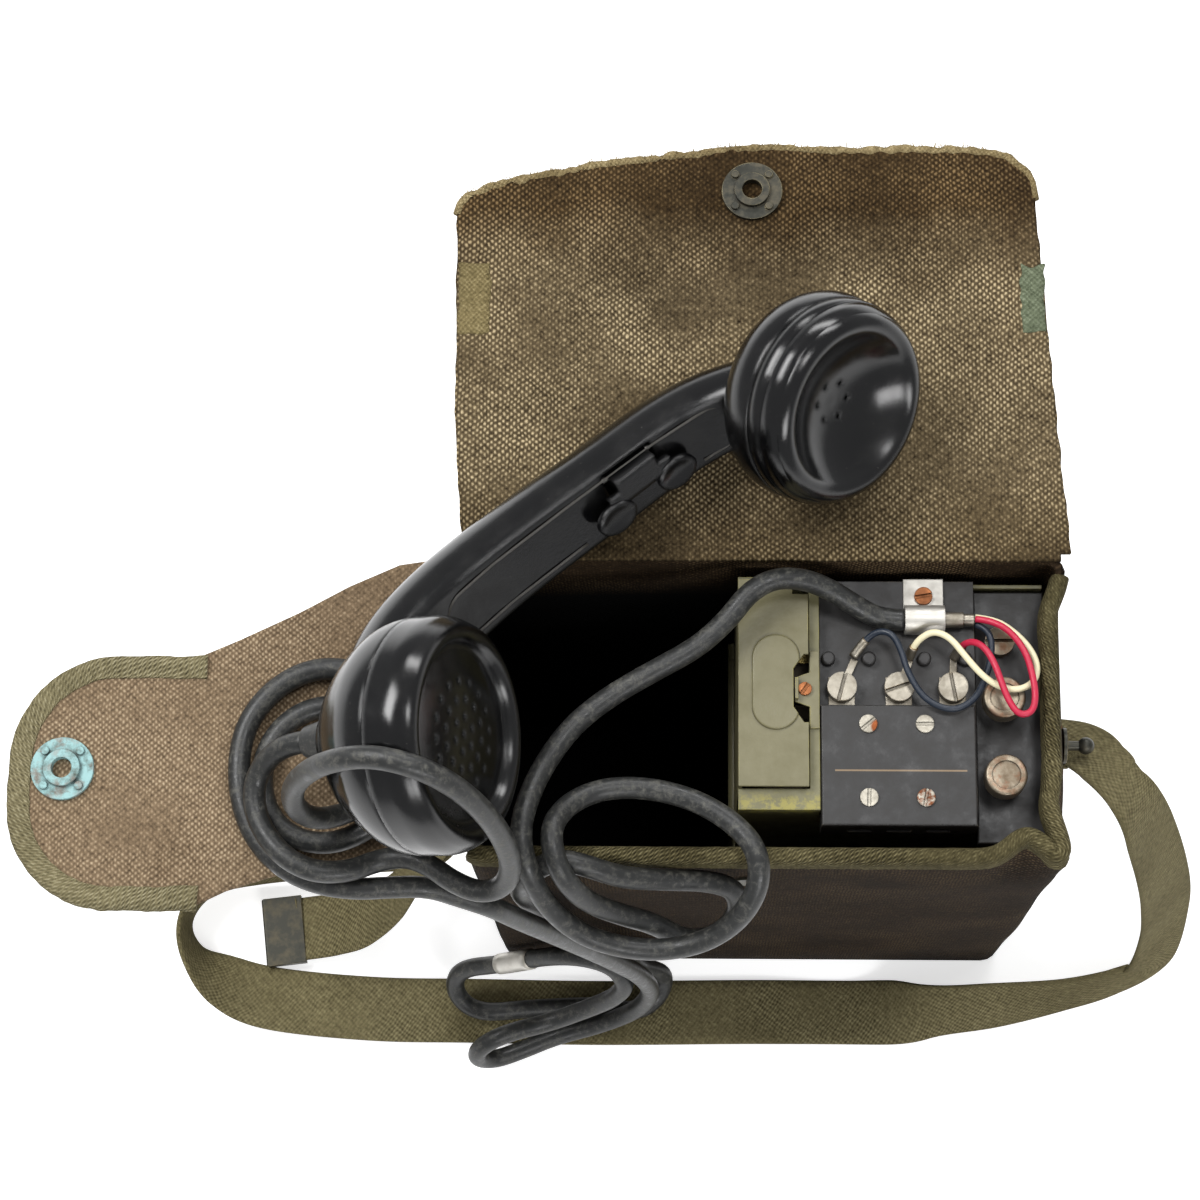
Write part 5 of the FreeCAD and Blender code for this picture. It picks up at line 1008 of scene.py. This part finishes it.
def wall_shade(tree, where, colour):
    """The lining is painted almost black below the mouth as painted shade, and is paler than the
    browned outside.
    """
    axes = add(tree, "SeparateXYZ", {0: where})
    deep = add(tree, "MapRange", {0: axes.outputs["Z"], 1: 0.228, 2: 0.196, 3: 0.0,
                                  4: 1.0})
    inner_y = add(tree, "Math", {0: axes.outputs["Y"]}, operation="ABSOLUTE")
    inner_x = add(tree, "Math", {0: axes.outputs["X"]}, operation="ABSOLUTE")
    lean = add(tree, "Math", {0: axes.outputs["Z"], 1: -0.01036, 2: inner_y.outputs[0]},
               operation="MULTIPLY_ADD")
    in_y = add(tree, "Math", {0: lean.outputs[0], 1: 0.0471}, operation="LESS_THAN")
    in_x = add(tree, "Math", {0: inner_x.outputs[0], 1: 0.0971}, operation="LESS_THAN")
    inside = add(tree, "Math", {0: in_y.outputs[0], 1: in_x.outputs[0]},
                 operation="MULTIPLY")
    # Painted shade: the lining darkens to near black with depth inside the bag.
    depth_shade = add(tree, "Math", {0: inside.outputs[0], 1: deep.outputs[0]},
                operation="MULTIPLY")
    clean = add(tree, "Mix", {0: inside.outputs[0], 6: (1.0, 1.0, 1.0, 1.0),
                              7: (2.2, 2.3, 2.4, 1.0)}, data_type="RGBA")
    paler = add(tree, "Mix", {0: 1.0, 6: colour, 7: clean.outputs[2]}, data_type="RGBA",
                blend_type="MULTIPLY")
    lining = add(tree, "Mix", {0: depth_shade.outputs[0], 6: paler.outputs[2],
                               7: tone("#030303")}, data_type="RGBA")
    return lining.outputs[2]


wall_duck = woven("duck_walls", "#0c0804", "#261c12", "#5a4a34", "#4a3b2c",
                  bead=(1.15, 1.05), band=wall_shade, columns=0.7)
# The mouth tape is the flap tape's twill in darker colours, as painted shade.
mouth_twill_shaded = woven("twill_mouth_tape_shaded", "#2e2a1b", "#5a5339", "#938a67", "#6a6449",
                    bead=(0.8, 1.7), slant=0.9, depth=0.7, dark=0.6)
flap_twill = woven("twill_flap_tape", "#4b4532", "#7d7558", "#b0a88a", "#7d7a5c",
                   bead=(0.8, 1.7), slant=0.9, depth=0.7, dark=0.4)
web_cotton = woven("cotton_webbing", "#443e2b", "#736b4e", "#9c946f", "#76714f",
                   bead=(1.1, 1.0), slant=0.35, dark=0.35, strong=0.8)
torn_cotton = woven("torn_cotton", "#54482f", "#8f7f5c", "#d3c399", "#94865f",
                    bead=(0.8, 0.8), depth=0.8, dark=0.5, strong=0.5)
green_tape = woven("green_patch", "#39402f", "#68705a", "#98a088", "#5f6a58",
                   bead=(0.9, 0.9), depth=0.8, dark=0.5, strong=0.5)
khaki_tape = woven("khaki_patch", "#4a4129", "#7f724f", "#b0a27a", "#6f6547",
                   bead=(0.9, 0.9), depth=0.8, dark=0.5, strong=0.5)

for cloth_finish, pieces in (
        (lid_duck, (lid, lid_roll)), (flap_duck, (flap, flap_roll)), (wall_duck, (bag,)),
        (mouth_twill_shaded, (binding,)), (flap_twill, (flap_tape,)),
        (web_cotton, (strap, tail, splice)), (torn_cotton, (rim, lid_fuzz)),
        (khaki_tape, (left_patch,)), (green_tape, (right_patch,))):
    for piece in pieces:
        cover(piece, cloth_finish)

# %% [markdown]
# The cord's jacket is black vulcanised rubber. It has gone grey and dull with dust, which
# lies thickest in scuffs a few millimetres long.

# %% Rubber
def rubber(name, deep, dusty, roughness=0.5, dust=0.7, scale=160.0):
    material, tree, shader, where = finish(name, roughness=roughness, specular=0.45)
    scuffs = add(tree, "TexNoise", {"Vector": where, "Scale": scale, "Detail": 9.0,
                                    "Roughness": 0.8, "Distortion": 0.3})
    amount = add(tree, "MapRange", {0: scuffs.outputs["Fac"], 1: 0.5, 2: 0.78, 3: 0.06,
                                    4: dust})
    colour = add(tree, "Mix", {0: amount.outputs[0], 6: tone(deep), 7: tone(dusty)},
                 data_type="RGBA")
    dull = add(tree, "MapRange", {0: scuffs.outputs["Fac"], 1: 0.4, 2: 0.7,
                                  3: roughness - 0.12, 4: roughness + 0.25})
    grain = add(tree, "TexNoise", {"Vector": where, "Scale": 900.0, "Detail": 3.0})
    bump = add(tree, "Bump", {"Strength": 0.35, "Distance": 0.0002,
                              "Height": grain.outputs["Fac"]})
    surface(tree, shader, colour.outputs[2], dull.outputs[0], bump.outputs[0])
    return material


cord_rubber = rubber("rubber_jacket", "#17191b", "#77756c", roughness=0.44,
                     dust=0.75, scale=330.0)
cover(cord, cord_rubber)
sleeve_colours = {"blue": ("#1c2430", "#39424c"), "cream": ("#e2d9b6", "#c9bd96"),
                  "red": ("#b81f3f", "#8f2038")}
for (lead, lug), key in zip(leads, ("blue", "cream", "red")):
    cover(lead, rubber("sleeve_" + key, *sleeve_colours[key], roughness=0.42, dust=0.5,
                       scale=420.0))

# %% [markdown]
# The handset is compression-moulded phenolic, polished when new. It is still black and
# glossy, with a haze of fine dust and pale specks, and its raised outline is painted a
# paler grey as a painted highlight.

# %% Polished phenolic
def phenolic(name, base="#070708", haze="#1b1a18", roughness=0.14, speck=0.5):
    material, tree, shader, where = finish(name, roughness=roughness)
    smears = add(tree, "TexNoise", {"Vector": where, "Scale": 38.0, "Detail": 6.0,
                                    "Roughness": 0.65})
    dust = add(tree, "TexNoise", {"Vector": where, "Scale": 620.0, "Detail": 4.0,
                                  "Roughness": 0.8})
    specks = add(tree, "MapRange", {0: dust.outputs["Fac"], 1: 0.66, 2: 0.76, 3: 0.0,
                                    4: speck})
    film = add(tree, "MapRange", {0: smears.outputs["Fac"], 1: 0.45, 2: 0.75, 3: 0.0,
                                  4: 0.35})
    filmed = add(tree, "Mix", {0: film.outputs[0], 6: tone(base), 7: tone(haze)},
                 data_type="RGBA")
    colour = add(tree, "Mix", {0: specks.outputs[0], 6: filmed.outputs[2],
                               7: tone("#6a6862")}, data_type="RGBA")
    dull = add(tree, "MapRange", {0: smears.outputs["Fac"], 1: 0.35, 2: 0.7,
                                  3: roughness - 0.05, 4: roughness + 0.14})
    rounded = add(tree, "Bevel", {"Radius": 0.0025}, samples=6)
    bump = add(tree, "Bump", {"Strength": 0.1, "Distance": 0.0002,
                              "Height": dust.outputs["Fac"],
                              "Normal": rounded.outputs[0]})
    surface(tree, shader, colour.outputs[2], dull.outputs[0], bump.outputs[0])
    return material


gloss_black = phenolic("polished_phenolic")
for piece in (skirt, *wings):
    cover(piece, gloss_black)
# The raised outline gets a paler grey as a painted highlight.
cover(bead, phenolic("raised_line_painted_highlight", "#55524d", "#2b2a28", roughness=0.35))
satin_black = phenolic("satin_phenolic", "#1b1b1c", "#34322e", roughness=0.48, speck=0.8)

# %% [markdown]
# The chassis is pressed steel in olive enamel, worn through to a yellow primer and grey
# steel where hands and straps rub its edges. The edge wear comes from the angle between
# the true surface and one with rounded edges.

# %% Enamel and plated metals
def metal(name, base, second, roughness=0.35, metallic=1.0, blotch=60.0, share=0.5,
          wear=None, rust=0.0, edge=0.0005, dirt_and_shade=None, marks=None):
    material, tree, shader, where = finish(name, roughness=roughness, metallic=metallic)
    stains = add(tree, "TexNoise", {"Vector": where, "Scale": blotch, "Detail": 7.0,
                                    "Roughness": 0.68})
    amount = add(tree, "MapRange", {0: stains.outputs["Fac"], 1: 0.45, 2: 0.72, 3: 0.0,
                                    4: share})
    colour = add(tree, "Mix", {0: amount.outputs[0], 6: tone(base), 7: tone(second)},
                 data_type="RGBA")
    last = colour.outputs[2]
    rounded = add(tree, "Bevel", {"Radius": edge}, samples=4)
    true = add(tree, "NewGeometry").outputs["True Normal"]
    if wear:
        turned = add(tree, "VectorMath", {0: rounded.outputs[0], 1: true},
                     operation="DOT_PRODUCT")
        rubbed = add(tree, "TexNoise", {"Vector": where, "Scale": 130.0, "Detail": 5.0})
        near_edge = add(tree, "MapRange", {0: turned.outputs["Value"], 1: 0.985, 2: 0.86})
        patchy = add(tree, "MapRange", {0: rubbed.outputs["Fac"], 1: 0.42, 2: 0.6})
        both = add(tree, "Math", {0: near_edge.outputs[0], 1: patchy.outputs[0]},
                   operation="MULTIPLY")
        worn = add(tree, "Mix", {0: both.outputs[0], 6: last, 7: tone(wear)},
                   data_type="RGBA")
        last = worn.outputs[2]
    if rust:
        spots = add(tree, "TexNoise", {"Vector": where, "Scale": 210.0, "Detail": 6.0,
                                       "Roughness": 0.7})
        rusty = add(tree, "MapRange", {0: spots.outputs["Fac"], 1: 0.5, 2: 0.62, 3: 0.0,
                                       4: rust})
        rusted = add(tree, "Mix", {0: rusty.outputs[0], 6: last, 7: tone("#8a4a26")},
                     data_type="RGBA")
        last = rusted.outputs[2]
    if marks:
        last = marks(tree, where, last)
    # Crevices found by ambient occlusion are darkened: partly dirt, partly painted shade in the
    # recesses.
    if dirt_and_shade:
        corner = add(tree, "AmbientOcclusion", {"Distance": dirt_and_shade}, samples=6,
                     only_local=True)
        crevice_shade_amount = add(tree, "MapRange", {0: corner.outputs["AO"], 1: 0.35, 2: 0.85, 3: 0.85,
                                        4: 0.0})
        crevice_dirt_and_shade = add(tree, "Mix", {0: crevice_shade_amount.outputs[0], 6: last, 7: tone("#1d1812")},
                    data_type="RGBA")
        last = crevice_dirt_and_shade.outputs[2]
    dull = add(tree, "MapRange", {0: stains.outputs["Fac"], 1: 0.35, 2: 0.7,
                                  3: roughness - 0.08, 4: roughness + 0.2})
    grain = add(tree, "TexNoise", {"Vector": where, "Scale": 1100.0, "Detail": 3.0})
    bump = add(tree, "Bump", {"Strength": 0.18, "Distance": 0.0002,
                              "Height": grain.outputs["Fac"],
                              "Normal": rounded.outputs[0]})
    surface(tree, shader, last, dull.outputs[0], bump.outputs[0])
    return material


def near(tree, where, place, radius, soft):
    """1 within radius of a place, falling to 0 over the soft distance; in metres."""
    away = add(tree, "VectorMath", {0: where, 1: place}, operation="DISTANCE")
    return add(tree, "MapRange", {0: away.outputs["Value"], 1: radius, 2: radius + soft,
                                  3: 1.0, 4: 0.0}).outputs[0]


def painted(tree, where, colour, share, shade, ragged=None):
    """Lay a colour over what is there, broken up by fine noise if it is ragged."""
    if ragged:
        chips = add(tree, "TexNoise", {"Vector": where, "Scale": ragged, "Detail": 6.0,
                                       "Roughness": 0.7})
        broken = add(tree, "MapRange", {0: chips.outputs["Fac"], 1: 0.44, 2: 0.56})
        share = add(tree, "Math", {0: share, 1: broken.outputs[0]},
                    operation="MULTIPLY").outputs[0]
    return add(tree, "Mix", {0: share, 6: colour, 7: tone(shade)},
               data_type="RGBA").outputs[2]


def lip_wear(tree, where, colour):
    """The front lip of the battery frame is rubbed through to yellow primer."""
    axes = add(tree, "SeparateXYZ", {0: where})
    front = add(tree, "MapRange", {0: axes.outputs["Y"], 1: -0.0305, 2: -0.0270, 3: 1.0,
                                   4: 0.0})
    high = add(tree, "MapRange", {0: axes.outputs["Z"], 1: 0.2255, 2: 0.2300})
    lip = add(tree, "Math", {0: front.outputs[0], 1: high.outputs[0]},
              operation="MULTIPLY")
    return painted(tree, where, colour, lip.outputs[0], "#8c8444", ragged=330.0)


def screw_rust(tree, where, colour):
    """Two of the four screws on the block have rusted, one of them only in part."""
    part = near(tree, where, (0.0368, -0.0060, 0.2350), 0.0022, 0.0008)
    whole = near(tree, where, (0.0520, -0.0295, 0.2350), 0.0050, 0.0008)
    half = painted(tree, where, colour, part, "#80492c")
    return painted(tree, where, half, whole, "#6f4631", ragged=420.0)


def rule_line(tree, where, colour):
    """A fine rule is scribed across the block; no lettering is drawn."""
    axes = add(tree, "SeparateXYZ", {0: where})
    across = add(tree, "Math", {0: axes.outputs["Y"], 1: -0.0205, 2: 0.00028},
                 operation="COMPARE")
    along = add(tree, "Math", {0: axes.outputs["X"], 1: 0.0440, 2: 0.0215},
                operation="COMPARE")
    line = add(tree, "Math", {0: across.outputs[0], 1: along.outputs[0]},
               operation="MULTIPLY")
    return painted(tree, where, colour, line.outputs[0], "#7c6850")


olive = metal("olive_enamel", "#6f6a4d", "#5f5a3e", roughness=0.4, metallic=0.0,
              wear="#b3a96a", share=0.6, dirt_and_shade=0.0015)
worn_olive = metal("worn_olive_enamel", "#6f6b4c", "#5b573a", roughness=0.42, metallic=0.0,
                   wear="#a39a52", share=0.7, dirt_and_shade=0.0015, marks=lip_wear)
nickel = metal("tarnished_nickel", "#9a9488", "#756c5c", roughness=0.45, share=0.8,
               wear="#8f7a5c", blotch=140.0, dirt_and_shade=0.0012)
block_nickel = metal("part_rusted_nickel", "#a5a094", "#827a6a", roughness=0.45, share=0.6,
                     blotch=140.0, dirt_and_shade=0.0012, marks=screw_rust)
rusty_nickel = metal("rusty_nickel", "#8d8373", "#66533f", roughness=0.46, share=0.85,
                     rust=0.35, blotch=150.0, dirt_and_shade=0.0015, wear="#e2d9c4")
copper = metal("old_copper", "#97613f", "#6b4733", roughness=0.42, share=0.7, blotch=200.0,
               dirt_and_shade=0.001)
steel = metal("plain_steel", "#8d8c88", "#6b6862", roughness=0.42, share=0.6)
brass = metal("dull_brass", "#9c8a55", "#6f6748", roughness=0.4, share=0.7)
verdigris = metal("verdigris_brass", "#8fb4b4", "#4a4a3e", roughness=0.7, metallic=0.15,
                  share=0.95, blotch=300.0, rust=0.35, dirt_and_shade=0.0015)
blackened = metal("blackened_brass", "#3a3a34", "#6a6250", roughness=0.42, metallic=0.7,
                  wear="#a89c78", share=0.7, blotch=180.0, dirt_and_shade=0.0012)
aluminium = metal("sheet_aluminium", "#c8c5be", "#a9a59c", roughness=0.5, share=0.5,
                  wear="#a8a49a", blotch=90.0)
magnet_grey = metal("lacquered_magnet", "#37383b", "#2a2a2c", roughness=0.4, metallic=0.6)
moulded = metal("moulded_panel", "#201f1f", "#302e2c", roughness=0.46, metallic=0.0,
                wear="#857c6b", share=0.8, blotch=120.0, edge=0.0004)
ruled = metal("moulded_block", "#201f1f", "#302e2c", roughness=0.46, metallic=0.0,
              wear="#857c6b", share=0.8, blotch=120.0, edge=0.0004, marks=rule_line)
winding = metal("varnished_winding", "#5a2a18", "#3a1a10", roughness=0.4, metallic=0.2)
card = metal("zinc_and_card", "#5b5242", "#453d30", roughness=0.7, metallic=0.0)

for lead, lug in leads:
    cover(lug, nickel)
cover(band, aluminium)
finishes = (
    (blackened, "wall_studs strap_tip strap_buckle lid_socket"),
    (copper, "bag_rivets clamp_screws"),
    (worn_olive, "base_frame"),
    (steel, "battery_tray door_hinge_pin ringer_frame condenser crank_shaft armature"
            " ringer_clapper switch_pin"),
    (card, "dry_cells"),
    (brass, "cell_contacts generator_plates ringer_gongs drive_gear"),
    (olive, "door_catch battery_door"),
    (nickel, "terminal_screws terminal_tags post_collars cord_ferrule crank_arm"),
    (block_nickel, "block_screws"),
    (ruled, "terminal_block"),
    (moulded, "terminal_pegs side_plate terminal_panel"),
    (aluminium, "cord_clamp handset_capsules"),
    (magnet_grey, "generator_magnets"),
    (winding, "ringer_coils induction_coil"),
    (verdigris, "side_flap_socket"),
    (rusty_nickel, "line_post_front line_post_rear selector_screw"),
    (satin_black, "crank_knob"),
    (gloss_black, "handset_body receiver_cap transmitter_cap talk_switch"),
    (cord_rubber, "cord_outlet"))
finished = [(node_name, material) for material, names in finishes
            for node_name in names.split()]
for node_name, material in finished:
    cover(nodes[node_name], material)
print("CAD pieces finished:", len(finished))

# %% [markdown]
# The object stands on a white floor under soft studio light: a large lamp high on the left, a
# small one overhead, a broad one behind that draws the long gleams on the handset, and a fill
# in front.
# The floor is lifted to white for the camera only, so that it keeps the object's shadow.

# %% Floor and light
floor_mesh = bpy.data.meshes.new("floor")
floor_mesh.from_pydata([(-4, -4, 0), (4, -4, 0), (4, 4, 0), (-4, 4, 0)], [], [(0, 1, 2, 3)])
floor = bpy.data.objects.new("floor", floor_mesh)
bpy.context.scene.collection.objects.link(floor)
floor.location.z = -0.0006
paper, tree, shader, where = finish("white_paper", roughness=0.9, specular=0.1)
shader.inputs["Base Color"].default_value = tone("#e9e9e9")
rays = add(tree, "LightPath")
seen = add(tree, "Math", {0: rays.outputs["Is Camera Ray"], 1: rays.outputs["Is Glossy Ray"]},
           operation="MAXIMUM")
white = add(tree, "Emission", {"Color": tone("#ffffff"), "Strength": 0.64})
both = add(tree, "AddShader", {0: shader.outputs[0], 1: white.outputs[0]})
mixed = add(tree, "MixShader", {0: seen.outputs[0], 1: shader.outputs[0],
                                2: both.outputs[0]})
tree.links.new(mixed.outputs[0], tree.nodes["Material Output"].inputs["Surface"])
cover(floor, paper)

world = bpy.data.worlds.new("studio")
bpy.context.scene.world = world
world.use_nodes = True
sky = world.node_tree
sky_rays = add(sky, "LightPath")
for_camera = add(sky, "MapRange", {0: sky_rays.outputs["Is Camera Ray"], 3: 0.5, 4: 1.0})
sky.nodes["Background"].inputs["Color"].default_value = tone("#f4f5f7")
sky.links.new(for_camera.outputs[0], sky.nodes["Background"].inputs["Strength"])

lamp_aim = Vector((0, 0, 0.2))


def lamp(name, place, size, power):
    data = bpy.data.lights.new(name, "AREA")
    data.shape = "RECTANGLE"
    data.size, data.size_y = size
    data.energy = power
    light = bpy.data.objects.new(name, data)
    light.location = place
    light.rotation_euler = (lamp_aim - Vector(place)).to_track_quat("-Z", "Y").to_euler()
    bpy.context.scene.collection.objects.link(light)


lamp("key_left", (-1.0, 0.55, 1.7), (0.9, 0.7), 26.0)
lamp("over_soft", (0.28, 0.18, 1.6), (0.3, 0.3), 5.0)
lamp("back_strip", (0.35, 1.5, 1.35), (1.2, 0.35), 14.0)
lamp("front_fill", (0.5, -1.5, 1.3), (1.0, 0.5), 15.0)

bpy.context.scene.view_settings.view_transform = "Standard"
